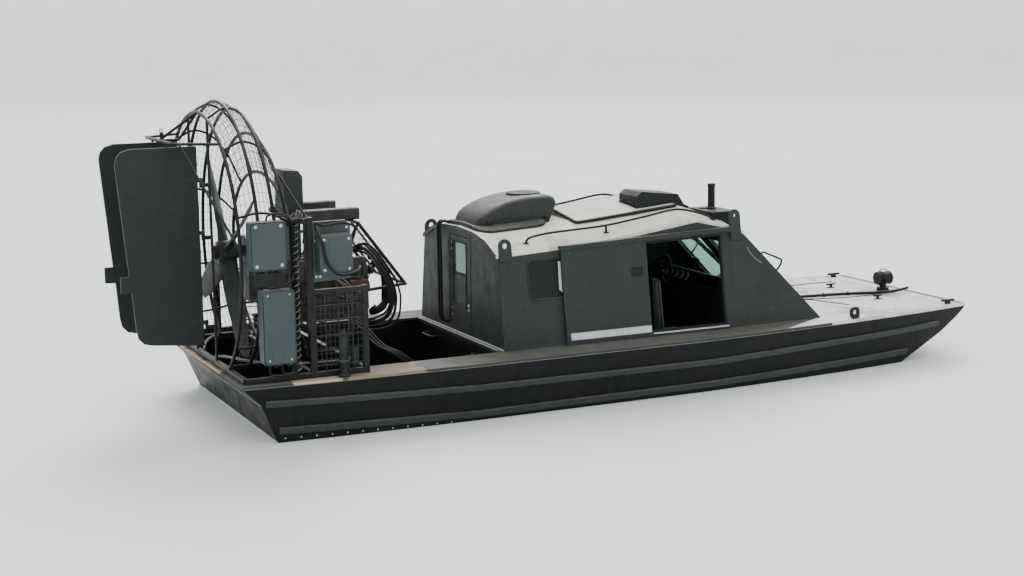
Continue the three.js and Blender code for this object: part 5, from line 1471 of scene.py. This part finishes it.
def foredeck_seams():
    """Seams, side strips and the small hatch of the foredeck."""
    trim, latch = several(2)
    low = DECK_SKIN
    for x in (2.15, 2.78, 3.38):
        half = table(BEAM, x) - 0.02
        trim.tube([(x, -half, low), (x, half, low)], 0.0032, 8)
    strip = [(1.895, table(BEAM, 1.895) - 0.006), (1.895, 0.955), (1.64, 1.1), (1.4, table(BEAM, 1.4) - 0.008)]
    for side, _ in SIDES:
        trim.tube([(x, side * (table(BEAM, x) - 0.008), low) for x in even(1.93, 3.57, 30)], 0.006, 8)
        trim.slab([(x, side * y) for x, y in strip], low, low + 0.0012, "z")
    trim.slab(rounded(rectangle(2.28, 2.7, 0.28, 0.7), 0.06), low, low + 0.01, "z")
    trim.slab(rounded(rectangle(2.3, 2.68, 0.3, 0.68), 0.05), low + 0.008, low + 0.016, "z")
    trim.make("foredeck_seams", "foredeck", bevel=0.002)
    for y in (0.38, 0.6):
        latch.box((2.285, y - 0.02, low + 0.014), (2.33, y + 0.02, low + 0.024))
    latch.tube([(2.64, 0.49, low + 0.015), (2.64, 0.49, low + 0.021)], 0.026, 24)
    latch.make("hatch_latches", "washer", bevel=0.0015)


def searchlight():
    """The searchlight's lens, rims and handle."""
    lens, rims = several(2)
    lamp = Vector((3.362, -0.02, DECK_TOP + 0.132))
    lens.turned(lamp, AHEAD, ((0.0752, 0.058), (0.081, 0.056), (0.084, 0.03)), 36)
    lens.make("lamp_lens", "lens", smooth=60)
    for dx, radius in ((0.073, 0.0665), (-0.02, 0.0672), (-0.036, 0.0672), (-0.052, 0.0672)):
        rims.tube(circle(lamp + AHEAD * dx, PORT, UP, radius, 36), 0.0038, 8, closed=True)
    handle = ((-0.04, 0.062), (-0.04, 0.082), (0.04, 0.082), (0.04, 0.062))
    rims.tube(curve([lamp + Vector((dx, 0, up)) for dx, up in handle], 6), 0.005, 8)
    rims.make("lamp_rims", "trim", smooth=60)


def helm_details():
    """Blank gauges, switches and levers on the helm console, and a dark display."""
    dials, rims, knobs = several(3)
    up = (PANEL_HIGH - PANEL_LOW).normalized()
    out = Vector((-up.z, 0, up.x))
    place = lambda along, y, off: PANEL_LOW + up * along + PORT * y + out * off
    for y in even(0.13, 0.63, 5):
        at = place(0.075, y, 0.0003)
        rims.turned(at, out, ((0, 0.04), (0.004, 0.042), (0.008, 0.036)), 28)
        dials.tube([at + out * 0.006, at + out * 0.0085], 0.034, 28)
        rims.tube([at + out * 0.008, at + out * 0.011], 0.004, 12)
    for i in range(10):
        at = place(0.02, -0.12 - 0.034 * i, 0.0003)
        knobs.tube([at, at + out * 0.004], 0.01, 12)
        knobs.tube([at + out * 0.003, at + out * 0.02 + up * 0.004], 0.004, 8)
    corners = [place(a, y, 0.001) for a, y in ((0.04, -0.18), (0.04, -0.46), (0.125, -0.46), (0.125, -0.18))]
    dials.rings([corners, [p + out * 0.014 for p in corners]])
    grip = ((-0.028, 0.1, 0.01), (-0.031, 0.112, 0.018), (-0.037, 0.135, 0.018), (-0.039, 0.142, 0.008))
    for y in (0.06, 0):
        base = Vector((1.23, y, 0.972))
        knobs.tube([base, base + Vector((-0.03, 0, 0.11))], 0.006)
        knobs.tube([base + Vector((dx, 0, dz)) for dx, dz, _ in grip], [radius for _, _, radius in grip], 16)
    dials.make("helm_dials", "screen", smooth=50)
    rims.make("helm_rims", "washer", smooth=50)
    knobs.make("helm_controls", "trim", smooth=50)


for build in (
    camera, floor, light, cage, cage_mesh, top_frame, handrails, hoses, front_guard, propeller, steering_wheel, seats,
    control_boxes, forward_box, stern_wiring, stern_parts, guard_grids, engine, drive_bolts, mufflers,
    cabin_side_details, door_details, aft_details, roof_details, air_conditioner, windshield_details, rudder_details,
    hull_details, foredeck_fittings, foredeck_seams, searchlight, helm_details,
):
    build()
